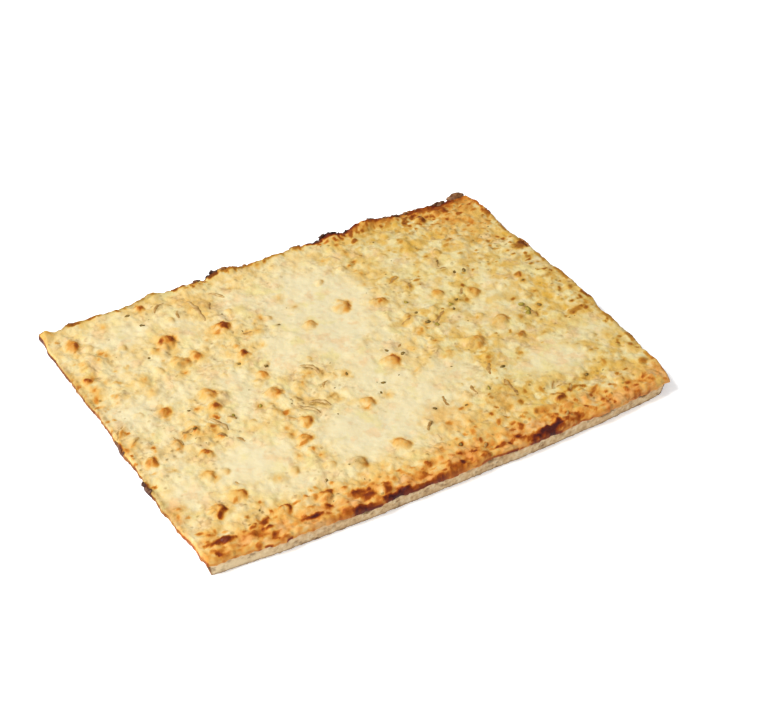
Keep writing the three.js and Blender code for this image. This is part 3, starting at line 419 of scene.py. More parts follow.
OLIVE_LINES = {
    "back": [
        (-180, 24, 0.7), (-136, 76, 0.7), (-100, 24, 0.5), (15, 40, 0.5),
    ],
    "right": [
        (95, 70, 0.5), (20, 70, 0.55), (-70, 90, 0.5),
    ],
    "left": [
        (60, 110, 0.6), (-75, 70, 0.6),
    ],
}

# The photograph's camera: turned and raised from the front, with its distance and lens
CAMERA_AZIMUTH = -30.575
CAMERA_ELEVATION = 38.31
CAMERA_DISTANCE = 1461.8
CAMERA_TARGET = (29.11, -0.41)
CAMERA_LENS = 85.64
CAMERA_SENSOR = 36


def smooth_step(low, high, value):
    share = np.clip((value - low) / (high - low), 0, 1)
    return share * share * (3 - 2 * share)


def bell(value, middle, breadth):
    return np.exp(-(((value - middle) / breadth) ** 2))


def seeded_draws(seed):
    """The same draws each time, from 0 up to 1, as in the part's source"""
    state = seed
    while True:
        state = (state * DRAW_FACTOR + DRAW_STEP) % DRAW_RANGE
        yield state / DRAW_RANGE


def plan_waves(waves, x, y):
    total = 0
    for height, length_x, length_y, phase in waves:
        total = total + height * np.sin(2 * np.pi * (x / length_x + y / length_y) + phase)
    return total


def edge_waves(along, side, ragged):
    waves = EDGE_WAVES + [RAGGED_WAVE] if ragged else EDGE_WAVES
    total = 0
    for i, (height, length) in enumerate(waves):
        total = total + height * np.sin(2 * np.pi * along / length + (2 + i) * side)
    return total


def plan_point(u, v, inset, ragged):
    """Plan places of points of the square from -1 to 1, with the outline drawn in by an inset"""
    bow_x = np.where(u > 0, BOW["right"], BOW["left"]) * (1 - np.abs(v) ** BOW_POWER)
    bow_y = np.where(v > 0, BOW["back"], BOW["front"]) * (1 - np.abs(u) ** BOW_POWER)
    corner = CORNER_PULL * np.abs(u * v) ** CORNER_POWER
    side_x = np.where(u > 0, WAVE_SIDE["right"], WAVE_SIDE["left"])
    side_y = np.where(v > 0, WAVE_SIDE["back"], WAVE_SIDE["front"])
    wave_x = edge_waves(v * HALF_WIDTH, side_x, ragged) * np.abs(u) ** EDGE_POWER
    wave_y = edge_waves(u * HALF_LENGTH, side_y, ragged) * np.abs(v) ** EDGE_POWER
    x = u * (HALF_LENGTH - inset + bow_x) + np.sign(u) * (wave_x - corner)
    y = v * (HALF_WIDTH - inset + bow_y) + np.sign(v) * (wave_y - corner)
    return x, y


def perimeter(share):
    """Points of the square's outline, walked once round at an even pace along the tray"""
    along = (share % 1) * 2 * (TRAY_LENGTH + TRAY_WIDTH)
    ends = np.cumsum([0, TRAY_LENGTH, TRAY_WIDTH, TRAY_LENGTH, TRAY_WIDTH])
    u = np.interp(along, ends, [-1, 1, 1, -1, -1])
    v = np.interp(along, ends, [-1, -1, 1, 1, -1])
    return u, v


def frame_shift():
    """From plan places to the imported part, which is centred on its own box"""
    u, v = perimeter(np.linspace(0, 1, OUTLINE_POINTS))
    x, y = plan_point(u, v, LIP_REACH, False)
    low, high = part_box("dough_base")
    middle_x = (low[0] + high[0]) / 2 / MM
    middle_y = (low[1] + high[1]) / 2 / MM
    return middle_x - (x.min() + x.max()) / 2, middle_y - (y.min() + y.max()) / 2


SHIFT_X, SHIFT_Y = frame_shift()


def to_frame(x, y, z):
    return np.stack([(x + SHIFT_X) * MM, (y + SHIFT_Y) * MM, z * MM], axis=-1)


# Noise over the plan

NOISE_TABLE = 256
NOISE_GAIN = 0.75
LAYER_TURN = (0.6, 1.1)  # of the first layer, and of each layer against the last, in radians
LAYER_SHARE = 0.55  # strength of a layer against the last
# Kinds of unevenness: size of the lumps in millimetres, seed, and number of layers
UNEVENNESS = {
    "blotch": (17, 11, 3), "blister": (5, 31, 3), "mark": (7, 37, 3), "fine_mark": (3, 41, 3),
    "lump": (15, 53, 3), "shred": (7, 59, 2), "warp_x": (8, 61, 2), "warp_y": (8, 63, 2),
    "pool": (36, 71, 3), "fine_pool": (11, 73, 3), "frill": (7, 83, 3), "jag": (4, 85, 3),
    "crust": (4, 89, 3), "streak": (11, 93, 3), "fine_streak": (4, 95, 3), "side": (12, 97, 3),
    "fine_side": (5, 99, 3), "open_crumb": (9, 103, 3), "crumb": (6, 107, 3), "fine_crumb": (2, 109, 3),
    "notch": (4, 113, 3),
}


def plan_noise(x, y, size, seed):
    """Smooth noise from about -0.5 to 0.5, with lumps of the given size"""
    angle = np.random.default_rng(seed).random((NOISE_TABLE, NOISE_TABLE)) * 2 * np.pi
    across = x / size + NOISE_TABLE / 2
    upward = y / size + NOISE_TABLE / 2
    column = np.floor(across).astype(int)
    row = np.floor(upward).astype(int)
    part_x = across - column
    part_y = upward - row

    def corner(step_x, step_y):
        turn = angle[(column + step_x) % NOISE_TABLE, (row + step_y) % NOISE_TABLE]
        return np.cos(turn) * (part_x - step_x) + np.sin(turn) * (part_y - step_y)

    ease_x = smooth_step(0, 1, part_x)
    ease_y = smooth_step(0, 1, part_y)
    low = corner(0, 0) * (1 - ease_x) + corner(1, 0) * ease_x
    high = corner(0, 1) * (1 - ease_x) + corner(1, 1) * ease_x
    return NOISE_GAIN * (low * (1 - ease_y) + high * ease_y)


def uneven(kind, x, y):
    """Noise of one kind, in layers each half the size of the last and turned against it"""
    size, seed, layers = UNEVENNESS[kind]
    total = 0
    weight = 0
    for layer in range(layers):
        turn = LAYER_TURN[0] + LAYER_TURN[1] * layer
        turned_x = x * math.cos(turn) - y * math.sin(turn)
        turned_y = x * math.sin(turn) + y * math.cos(turn)
        share = LAYER_SHARE**layer
        total = total + share * plan_noise(turned_x, turned_y, size / 2**layer, seed + layer)
        weight += share
    return total / weight


BUBBLE_RADIUS = (0.25, 0.65)  # least and most, in pitches


def bubble_field(x, y, pitch, seed):
    """Round bumps from 0 to 1, one of its own size in each cell of a shaken grid, and a draw for each"""
    draws = np.random.default_rng(seed).random((NOISE_TABLE, NOISE_TABLE, 4))
    least, most = BUBBLE_RADIUS
    column = np.floor(x / pitch).astype(int)
    row = np.floor(y / pitch).astype(int)
    bump = np.zeros_like(x)
    own_draw = np.zeros_like(x)
    for step_x in (-1, 0, 1):
        for step_y in (-1, 0, 1):
            draw = draws[(column + step_x) % NOISE_TABLE, (row + step_y) % NOISE_TABLE]
            middle_x = (column + step_x + draw[..., 0]) * pitch
            middle_y = (row + step_y + draw[..., 1]) * pitch
            radius = pitch * (least + (most - least) * draw[..., 2])
            distance = np.hypot(x - middle_x, y - middle_y) / radius
            rise = np.sqrt(np.clip(1 - distance**2, 0, 1)) * radius / (most * pitch)
            own_draw = np.where(rise > bump, draw[..., 3], own_draw)
            bump = np.maximum(bump, rise)
    return bump, own_draw


# Marks: how far they and their halos spread past their half sizes, and where they fade out, in half sizes
MARK_SPREAD = 0.6
MARK_FADE = 1.4
STRONG_MARK = 0.45  # above this strength, a mark is even out to its core
STRONG_CORE = 0.25
HALO_SPREAD = 5.5
HALO_FADE = (0.3, 1.1)
HALO_SHARE = 0.6  # the strongest halo against its mark
MARK_MARGIN = 9  # how far past its longer size a mark may reach


def mark_layer(x, y, marks, ragged, halo=0):
    """The strongest of a list of soft marks at each place, each with a faint halo"""
    layer = np.zeros_like(x)
    for middle_x, middle_y, length, width, turn, strength in marks:
        away_x = x - middle_x
        away_y = y - middle_y
        far = np.maximum(np.abs(away_x), np.abs(away_y))
        near = np.flatnonzero(far < max(length, width) + MARK_MARGIN)
        angle = math.radians(turn)
        along = away_x[near] * math.cos(angle) + away_y[near] * math.sin(angle)
        across = away_y[near] * math.cos(angle) - away_x[near] * math.sin(angle)
        core = STRONG_CORE if strength > STRONG_MARK else 0
        mark = (strength, MARK_SPREAD, core, MARK_FADE)
        faint = (min(halo, HALO_SHARE * strength), HALO_SPREAD, *HALO_FADE)
        for peak, spread, fade_from, fade_to in (mark, faint):
            reach = np.hypot(along / (length / 2 + spread), across / (width / 2 + spread)) + ragged[near]
            layer[near] = np.maximum(layer[near], peak * (1 - smooth_step(fade_from, fade_to, reach)))
    return layer


def side_axes(side):
    """Whether a side runs along X, and whether it faces the plus or the minus way"""
    along_x = side in ("back", "front")
    outward = 1 if side in ("back", "right") else -1
    return along_x, outward


def by_side(table):
    """The entries of a table that is grouped by side, each with its side in front"""
    return [(side, *entry) for side, entries in table.items() for entry in entries]


def along_side(side, u, v):
    """Place along a side, and distance in from it, of points of the square"""
    along_x, outward = side_axes(side)
    if along_x:
        return u * HALF_LENGTH, (1 - outward * v) * HALF_WIDTH
    return v * HALF_WIDTH, (1 - outward * u) * HALF_LENGTH


def rim_trim(u, v):
    """How far the rim's small departures move a point in plan, and how far up"""
    move_x = np.zeros_like(u)
    move_y = np.zeros_like(u)
    rise = np.zeros_like(u)
    for side, at, length, out, up in by_side(RIM_TRIMS):
        along_x, outward = side_axes(side)
        along, inward = along_side(side, u, v)
        share = bell(along, at, length / 2) * bell(inward, 0, TRIM_DEPTH)
        if along_x:
            move_y += outward * out * share
        else:
            move_x += outward * out * share
        rise += up * share
    return move_x, move_y, rise


# Working on meshes

def deselect_all():
    if bpy.context.mode != "OBJECT":
        bpy.ops.object.mode_set(mode="OBJECT")
    bpy.ops.object.select_all(action="DESELECT")


def edit_piece(piece):
    deselect_all()
    bpy.context.view_layer.objects.active = piece
    piece.select_set(True)
    bpy.ops.object.mode_set(mode="EDIT")


def leave_edit():
    """Turns all faces of the piece in hand outwards and leaves edit mode"""
    bpy.ops.mesh.select_all(action="SELECT")
    bpy.ops.mesh.normals_make_consistent(inside=False)
    bpy.ops.object.mode_set(mode="OBJECT")


def named_piece(name):
    """The piece that an operator has just made, under a name of its own"""
    piece = bpy.context.object
    piece.name = name
    piece.data.name = name
    return piece


def mesh_points(piece):
    points = np.empty(len(piece.data.vertices) * 3)
    piece.data.vertices.foreach_get("co", points)
    return points.reshape(-1, 3)


def set_mesh_points(piece, points):
    piece.data.vertices.foreach_set("co", np.ascontiguousarray(points, dtype=np.float32).ravel())
    piece.data.update()


def set_attribute(piece, name, values):
    attribute = piece.data.attributes.new(name=name, type="FLOAT", domain="POINT")
    attribute.data.foreach_set("value", np.ascontiguousarray(values, dtype=np.float32))


def close_boundary(piece):
    """Fills the open edge of a piece"""
    edit_piece(piece)
    bpy.ops.mesh.select_mode(type="EDGE")
    bpy.ops.mesh.select_all(action="DESELECT")
    bpy.ops.mesh.select_non_manifold(extend=False, use_wire=False, use_multi_face=False,
                                     use_non_contiguous=False, use_verts=False)
    bpy.ops.mesh.edge_face_add()
    leave_edit()
    bpy.ops.object.shade_smooth()


def joined_mesh(name, parts):
    """One object from a list of (points, faces), each with its own numbering"""
    points = []
    faces = []
    start = 0
    for part_points, part_faces in parts:
        points.append(part_points)
        faces.extend([tuple(start + i for i in face) for face in part_faces])
        start += len(part_points)
    mesh = bpy.data.meshes.new(name)
    mesh.from_pydata(np.concatenate(points).tolist(), [], faces)
    mesh.update()
    piece = bpy.data.objects.new(name, mesh)
    bpy.context.scene.collection.objects.link(piece)
    edit_piece(piece)
    leave_edit()
    bpy.ops.object.shade_smooth()
    return piece


# Cheese: the flat grid's cells, and how many rings of them make the rim
CHEESE_CELLS_X = 352
CHEESE_CELLS_Y = 266
RIM_RINGS = 14
# Section of the rim from the shoulder over the lip to the dough: inset, height over the dough's top,
# and the share of the lip's drop
RIM_SECTION = [
    (3.0, 3.5, 0), (1.9, 3.35, 0), (1.0, 2.8, 0), (0.4, 1.9, 0), (0.1, 0.9, 0), (0.0, 0, 0.35),
    (0.25, 0, 0.8), (0.8, 0, 1), (1.5, 0.1, 0.95), (1.8, 0.1, 0.5), (1.8, -0.5, 0), (2.6, 0.1, 0),
    (4.6, 0.25, 0),
]
# Steps of that section between which the relief and the rim's departures fade, and the frill comes and goes
RELIEF_FADE = (1, 4)
TRIM_FADE = (2, 6)
FRILL_COMES = (0.5, 3)
FRILL_GOES = (7, 9)
# Unevenness of the lip and the top
FRILL = 2.4
DROP_FRILL = 2.2
DROP_JAG = 2.4
DROP_RANGE = (0.3, 3.8)
CRUST_RISE = 2.4
CRUST_DEPTH = 3
CRUST_LIFT = 0.08
MARK_RISE = 0.5
LUMP_RISE = 4.8
SHRED_RISE = 2.8
BROAD_RISE = 0.9
SMALL_RISE = 0.5
LUMPS_SHOW = (0.2, 1.1)  # in calm cheese, and more where it is busy
SHREDS_SHOW = (0.1, 0.9)
BUBBLE_WARP = 7
BROAD_BUBBLES = (9, 65)  # pitch and seed
SMALL_BUBBLES = (5, 67)
SMALL_BUBBLES_SHIFT = (400, 300)

# Browning by place: of all the cheese, and more in each zone
BASE_BAKE = 0.05
ZONE_BAKE = {"right": 0.03, "front": 0.18, "corner": 0.12, "rim": 0.1, "back": 0.25}
FRONT_BAND = (-112, -150)  # the y between which the front is browned, streaked and rosy
STREAKED_BAND = (-115, -148)
ROSY_BAND = (-122, -150)
STREAK_STRETCH = 1.6
STREAK_BAKE = 0.78
RIM_BAKE_DEPTH = 7
MARK_HALO = 0.31  # how far the cheese is browned around a mark
MOST_BAKE = 0.98
RIGHT_PART = (25, 105)  # the x between which the cheese becomes softer, browner and more olive
RIGHT_SOFTER = 0.25
BACK_CORNER = (195, 140)  # the most browned corner
# The rim's side: how far it is browned, from which step of the section, and over how many steps
SIDE_BAKE = {
    "back": (0.66, 0.4, 0.8), "left": (0.65, 2.2, 1.2), "right": (0.54, 0.9, 2.2), "front": (0.44, 2, 2.2),
}
LIP_MARK_DEPTH = 0.7
RIM_LINE_DEPTH = 2.2
OLIVE_LINE_DEPTH = 1.3


def pool_mask(x, y):
    """1 in the middle of the smooth areas, 0 outside them"""
    mask = np.zeros_like(x)
    ragged = 1.26 * uneven("pool", x, y) + 0.56 * uneven("fine_pool", x, y)
    for middle_x, middle_y, length, width, smoothness in SMOOTH_AREAS:
        reach = np.hypot((x - middle_x) / (length / 2), (y - middle_y) / (width / 2)) + ragged
        mask = np.maximum(mask, smoothness * (1 - smooth_step(0.4, 1.4, reach)))
    return mask


CALM = 0.3  # how busy the cheese is with no marks near, and how much more with many
CROWDED = 0.75
POOL_CALM = 0.65  # how much of that a smooth area takes away
CROWD_SPREAD = (7, 0.2)  # of any mark, and for each millimetre of its length and width
CROWD_GAIN = 1.3


def mark_crowd(x, y):
    """Towards 1 where browned marks crowd together, 0 far from them"""
    crowd = np.zeros_like(x)
    for middle_x, middle_y, length, width, _, strength in BAKED_MARKS:
        spread = CROWD_SPREAD[0] + CROWD_SPREAD[1] * (length + width)
        away = (x - middle_x) ** 2 + (y - middle_y) ** 2
        near = np.flatnonzero(away < (3 * spread) ** 2)
        crowd[near] += strength * np.exp(-away[near] / (2 * spread**2))
    return 1 - np.exp(-CROWD_GAIN * crowd)


def scattered_marks(zones, seed):
    """Small marks at random places in a list of zones"""
    random = np.random.default_rng(seed)
    marks = []
    for least_x, most_x, least_y, most_y, count, least_bake, most_bake, size in zones:
        for _ in range(count):
            marks.append((
                random.uniform(least_x, most_x), random.uniform(least_y, most_y),
                size * random.uniform(*MARK_LENGTH), size * random.uniform(*MARK_WIDTH),
                random.uniform(*MARK_TURN), random.uniform(least_bake, most_bake),
            ))
    return marks


def in_pool(x, y):
    return any(
        math.hypot((x - middle_x) / (length / 2), (y - middle_y) / (width / 2)) < 1
        for middle_x, middle_y, length, width in POOLS
    )


def small_blisters():
    draws = seeded_draws(SMALL_SEED)
    reach_x = HALF_LENGTH - SMALL_MARGIN
    reach_y = HALF_WIDTH - SMALL_MARGIN
    least, most = SMALL_BREADTH
    base_bake, bake_by_breadth, edge = SMALL_BAKE
    found = []
    for row_y in np.arange(-reach_y, reach_y + ROUNDING_SLACK, SMALL_PITCH):
        for row_x in np.arange(-reach_x, reach_x + ROUNDING_SLACK, SMALL_PITCH):
            x = row_x + (next(draws) - 0.5) * SMALL_SHAKE * SMALL_PITCH
            y = row_y + (next(draws) - 0.5) * SMALL_SHAKE * SMALL_PITCH
            breadth = least + next(draws) * (most - least)
            is_clear = all(
                math.hypot(x - large_x, y - large_y) > (breadth + large) / 2 + SMALL_CLEARANCE
                for large_x, large_y, large, _, _ in LARGE_BLISTERS
            )
            if is_clear and abs(x) < reach_x and abs(y) < reach_y and not in_pool(x, y):
                found.append((x, y, breadth, base_bake + bake_by_breadth * breadth, edge))
    return found


# Form of a blister: waves of its outline by share of the radius, count and phase, the power of its dome,
# and by depth, distance and breadth, in radii, the moat around it and the dent in every fourth one
BLISTER_WAVES = [(0.09, 2, 1.3), (0.07, 3, 1), (0.04, 5, 2.7)]
BLISTER_ROUGH = 0.5
DOME_POWER = 0.8
MOAT = (0.08, 1.12, 0.16)
DENT = (0.4, 0, 0.45)
# Browning of a blister: its core, moved towards the side away from the light, its halo, and the dark edge on
# that side. That side always lies away from the key light, so its darkening is browning mixed with painted
# shade
CORE_GAIN = 1.06
CORE_MOVE = 0.16
CORE_FADE = (0.3, 1)
HALO_GAIN = 1.1
MOST_HALO = 0.42
BLISTER_HALO_FADE = (0.75, 1.65)
SHADED_EDGE = (0.9, 0.75, 0.24)


def blister_relief(x, y):
    """Rise of all blisters and how far they brown the cheese, with painted shade on the side of each that
    faces away from the light
    """
    all_rough = uneven("blister", x, y)
    rise = np.zeros_like(x)
    bake = np.zeros_like(x)
    for i, (middle_x, middle_y, breadth, strength, edge) in enumerate(LARGE_BLISTERS + small_blisters()):
        near = np.flatnonzero(np.hypot(x - middle_x, y - middle_y) < 1.2 * breadth)
        away_x = x[near] - middle_x
        away_y = y[near] - middle_y
        rough = all_rough[near]
        turn = np.arctan2(away_y, away_x)
        outline = 1 + BLISTER_ROUGH * rough
        for height, count, phase in BLISTER_WAVES:
            outline = outline + height * np.sin(count * turn + phase * i)
        radius = breadth / 2 * outline
        reach = np.hypot(away_x, away_y) / radius
        dome = np.clip(1 - reach**2, 0, 1) ** DOME_POWER
        moat = MOAT[0] * bell(reach, *MOAT[1:])
        dent = DENT[0] * bell(reach, *DENT[1:]) if i % 4 == 3 else 0
        rise[near] += BLISTER_RISE * breadth * (dome - moat - dent)

        # Core, halo and dark edge lean to a side towards plus X, away from the key light: browning mixed with
        # painted shade
        shaded_side = 0.15 + 0.7 * np.sin(2.1 * i)
        facing = np.cos(turn - shaded_side)
        move = CORE_MOVE * breadth
        core_reach = np.hypot(away_x - move * math.cos(shaded_side), away_y - move * math.sin(shaded_side)) / radius
        ring = 0.74 + 0.26 * smooth_step(0.1, 0.7, reach)
        core = CORE_GAIN * strength * ring * (1 - smooth_step(*CORE_FADE, core_reach))
        halo = min(HALO_GAIN * strength, MOST_HALO) * (1 - smooth_step(*BLISTER_HALO_FADE, reach))
        halo = halo * (0.85 + 0.35 * np.clip(reach, 0, 1) * facing + rough)
        crescent = SHADED_EDGE[0] * edge * bell(reach, *SHADED_EDGE[1:]) * np.clip(facing, 0, 1)
        bake[near] = np.maximum(bake[near], np.maximum(core, halo) + crescent + 0.3 * core * rough)
    return rise, bake


def from_back_corner(x, y):
    return np.hypot(x - BACK_CORNER[0], y - BACK_CORNER[1])


def bake_layout(x, y, edge, pool):
    """How far the cheese is browned by its place in the tray, from 0, pale, to 1, burnt"""
    front = smooth_step(*FRONT_BAND, y)
    zones = {
        "right": smooth_step(*RIGHT_PART, x), "front": front, "rim": np.exp(-edge / RIM_BAKE_DEPTH),
        "corner": 1 - smooth_step(10, 90, from_back_corner(x, y)),
        "back": smooth_step(HALF_WIDTH - 14, HALF_WIDTH + 2, y) * smooth_step(20, 120, x),
    }
    bake = BASE_BAKE + sum(ZONE_BAKE[name] * share for name, share in zones.items())
    blotch = smooth_step(-0.18, 0.18, uneven("blotch", x, y))
    return bake * (1 - 0.6 * pool * (1 - front)) * (0.6 + 0.8 * blotch)


def cheese_relief(x, y, busy):
    """Lumps of the melted shreds and the fine bubbles between the blisters, and how far they are browned"""
    lumps = LUMP_RISE * uneven("lump", x, y)
    shreds = SHRED_RISE * uneven("shred", x, y)
    warped_x = x + BUBBLE_WARP * uneven("warp_x", x, y)
    warped_y = y + BUBBLE_WARP * uneven("warp_y", x, y)
    broad, broad_draw = bubble_field(warped_x, warped_y, *BROAD_BUBBLES)
    shift_x, shift_y = SMALL_BUBBLES_SHIFT
    small, small_draw = bubble_field(warped_x + shift_x, warped_y + shift_y, *SMALL_BUBBLES)
    relief = (LUMPS_SHOW[0] + LUMPS_SHOW[1] * busy) * lumps
    fine_relief = shreds + BROAD_RISE * broad + SMALL_RISE * small
    relief = relief + (SHREDS_SHOW[0] + SHREDS_SHOW[1] * busy) * fine_relief
    broad_bake = smooth_step(0.15, 0.6, broad) * smooth_step(0.5, 0.95, broad_draw)
    small_bake = smooth_step(0.1, 0.4, small) * smooth_step(0.55, 0.95, small_draw)
    return relief, np.maximum(broad_bake, small_bake) * busy


def line_layer(u, v, ragged, lines, depth):
    """How strong a table of lines along the rim is, on the lip and on the top to a depth from it"""
    layer = np.zeros_like(u)
    for side, at, length, strength in by_side(lines):
        along, inward = along_side(side, u, v)
        reach = np.abs(along - at) / (length / 2) + 0.8 * ragged
        near_rim = 1 - smooth_step(0.4, 1.4, inward / depth + ragged)
        layer = np.maximum(layer, strength * (1 - smooth_step(0.7, 1.15, reach)) * near_rim)
    return layer


def lip_bake(u, v, x, z, step, rim_x, rim_y):
    """How far the rim's side is browned, from the shoulder down to the lip"""
    side = np.select([v == 1, u == -1, u == 1], [0, 1, 2], 3)
    bake, from_step, ramp_steps = np.array(list(SIDE_BAKE.values()))[side].T
    bake = bake + 0.06 * smooth_step(20, 160, x) * (v == 1)
    bake = bake + 0.6 * uneven("side", rim_x, rim_y) + 0.5 * uneven("fine_side", rim_x + rim_y, 1.5 * z)
    bake = np.maximum(bake, line_layer(u, v, np.zeros_like(u), LIP_MARKS, LIP_MARK_DEPTH))
    return bake * smooth_step(0, 1, (step - from_step) / ramp_steps)


def orange_share(x, y, edge, front, right, blister_bake):
    """1 where the cheese browns to orange, 0 where it browns to olive"""
    inside = (1 - front) * smooth_step(0, 14, edge)
    corner = 1 - smooth_step(20, 90, from_back_corner(x, y))
    back_left = smooth_step(HALF_WIDTH - 8, HALF_WIDTH, y) * smooth_step(70, 20, x)
    right_rim = smooth_step(HALF_LENGTH - 6, HALF_LENGTH + 2, x) * smooth_step(-135, -110, y)
    right_rim = right_rim * smooth_step(130, 105, y)
    left_rim = smooth_step(1 - HALF_LENGTH, -1 - HALF_LENGTH, x) * smooth_step(-120, -90, y)
    warm = 1 - (0.1 + 0.75 * right) * inside * (1 - 0.7 * corner)
    warm = np.maximum(warm, 0.6 * smooth_step(0.24, 0.4, blister_bake))
    return warm * (1 - 0.75 * np.maximum.reduce([back_left, right_rim, left_rim]))


def rim_steps(flat):
    """Places of the flat grid's points in the square, with its outer rings as steps down the rim"""
    column = np.rint((flat[:, 0] + 1) / 2 * CHEESE_CELLS_X)
    row = np.rint((flat[:, 1] + 1) / 2 * CHEESE_CELLS_Y)
    ring = np.minimum.reduce([column, CHEESE_CELLS_X - column, row, CHEESE_CELLS_Y - row])
    ring = np.minimum(ring, RIM_RINGS)
    u = (column - CHEESE_CELLS_X / 2) / (CHEESE_CELLS_X / 2 - ring)
    v = (row - CHEESE_CELLS_Y / 2) / (CHEESE_CELLS_Y / 2 - ring)
    return u, v, (RIM_RINGS - ring) / RIM_RINGS * (len(RIM_SECTION) - 1)


def make_cheese():
    deselect_all()
    bpy.ops.mesh.primitive_grid_add(x_subdivisions=CHEESE_CELLS_X, y_subdivisions=CHEESE_CELLS_Y, size=2)
    cheese = named_piece("melted_cheese")
    u, v, step = rim_steps(mesh_points(cheese))
    is_rim = step > 0
    section = np.array(RIM_SECTION)
    inset, over, drop_share = (np.interp(step, np.arange(len(section)), section[:, i]) for i in range(3))
    rim_x, rim_y = plan_point(u, v, 0, True)
    edge = np.minimum((1 - np.abs(u)) * HALF_LENGTH, (1 - np.abs(v)) * HALF_WIDTH) + RIM_ROUND * ~is_rim
    frill = uneven("frill", rim_x, rim_y)
    outer = smooth_step(*FRILL_COMES, step) * (1 - smooth_step(*FRILL_GOES, step))
    lip_x, lip_y = plan_point(u, v, inset - FRILL * frill * outer, True)
    inner_u = u * (1 - RIM_ROUND / HALF_LENGTH)
    inner_v = v * (1 - RIM_ROUND / HALF_WIDTH)
    inner_x, inner_y = plan_point(inner_u, inner_v, 0, True)
    move_x, move_y, trim_rise = rim_trim(u, v)
    x = np.where(is_rim, lip_x, inner_x) + move_x
    y = np.where(is_rim, lip_y, inner_y) + move_y

    drop = LIP_DROP + 0.5 * plan_waves(LIP_WAVES, rim_x, rim_y)
    drop = drop + DROP_FRILL * frill + DROP_JAG * uneven("jag", rim_x, rim_y)
    drop = np.clip(drop, *DROP_RANGE)
    pool = pool_mask(x, y)
    busy = (CALM + CROWDED * mark_crowd(x, y)) * (1 - POOL_CALM * pool)
    ragged = 0.8 * uneven("mark", x, y) + 0.6 * uneven("fine_mark", x, y)
    marks = MOST_BAKE * mark_layer(x, y, BAKED_MARKS, ragged, MARK_HALO)
    scattered = mark_layer(x, y, scattered_marks(MARK_ZONES, MARK_SEED), ragged) * (1 - 0.9 * pool)
    marks = np.maximum(marks, scattered)
    rise, blister_bake = blister_relief(x, y)
    right = smooth_step(*RIGHT_PART, x)
    relief, bubble_bake = cheese_relief(x, y, busy)
    relief = relief * (1 - RIGHT_SOFTER * right)
    crust = CRUST_RISE * np.exp(-edge / CRUST_DEPTH) * (uneven("crust", x, y) + CRUST_LIFT)
    relief = relief + plan_waves(SWELLS, x, y) + rise + MARK_RISE * marks + crust
    z = DOUGH_HEIGHT + over - drop * drop_share + relief * (1 - smooth_step(*RELIEF_FADE, step))
    z = z + trim_rise * (1 - smooth_step(*TRIM_FADE, step))
    set_mesh_points(cheese, to_frame(x, y, z))
    close_boundary(cheese)

    front = smooth_step(*STREAKED_BAND, y)
    layout = bake_layout(x, y, edge, pool) + (0.1 + 0.12 * right) * bubble_bake + 0.05 * (1 - right) * busy
    streaks = uneven("streak", x / STREAK_STRETCH, y) + 0.6 * uneven("fine_streak", x / STREAK_STRETCH, y)
    bake = np.maximum.reduce([marks, blister_bake, layout]) + front * (0.03 + STREAK_BAKE * streaks)
    bake = np.maximum.reduce([
        bake, lip_bake(u, v, x, z, step, rim_x, rim_y), line_layer(u, v, ragged, RIM_LINES, RIM_LINE_DEPTH),
    ])
    olive = np.maximum.reduce([
        mark_layer(x, y, OLIVE_MARKS, ragged),
        mark_layer(x, y, scattered_marks(OLIVE_ZONES, OLIVE_SEED), ragged) * (1 - 0.8 * pool),
        line_layer(u, v, ragged, OLIVE_LINES, OLIVE_LINE_DEPTH),
    ])
    left_front = smooth_step(-185, -200, x) * smooth_step(-40, -120, y)
    set_attribute(cheese, "bake", np.clip(bake, 0, MOST_BAKE))
    set_attribute(cheese, "busy", busy)
    set_attribute(cheese, "warm", orange_share(x, y, edge, front, right, blister_bake))
    set_attribute(cheese, "golden", busy * (0.5 + 0.5 * right))
    set_attribute(cheese, "olive", olive)
    set_attribute(cheese, "rosy", np.maximum(smooth_step(*ROSY_BAND, y), left_front))
    set_attribute(cheese, "milky", np.maximum(0.4 * pool, mark_layer(x, y, MILKY_MARKS, ragged)))
    return cheese


# Dough: points round it, rows up its side, and its form
DOUGH_POINTS = 2400
DOUGH_ROWS = 20
CREASE_ANGLE = 50
FRONT_FOOT = 0.3  # how far the front's lower edge stands out past its top
FRONT_ROUND = 0.25  # the front's lower edge is rounded off by this share
FOOT_WAVES = 0.7
CORNER_UPRIGHT = 0.7  # how far the left side stands upright near the front corner
CORNER_BAND = (-110, -150)
NOTCH_DEPTH = 2  # of the front's ragged lower edge
NOTCH_REACH = 0.2  # by share of the height
TRIM_FOLLOW = 0.8  # how far the dough follows the cheese's rim
PORES = (2.2, 101)  # pitch and seed
PORE_STRETCH = 1.5
PORE_DEPTH = {"front": 0.8, "other": 0.3}
CRUMB_DEPTH = {"front": 1, "other": 0.8}


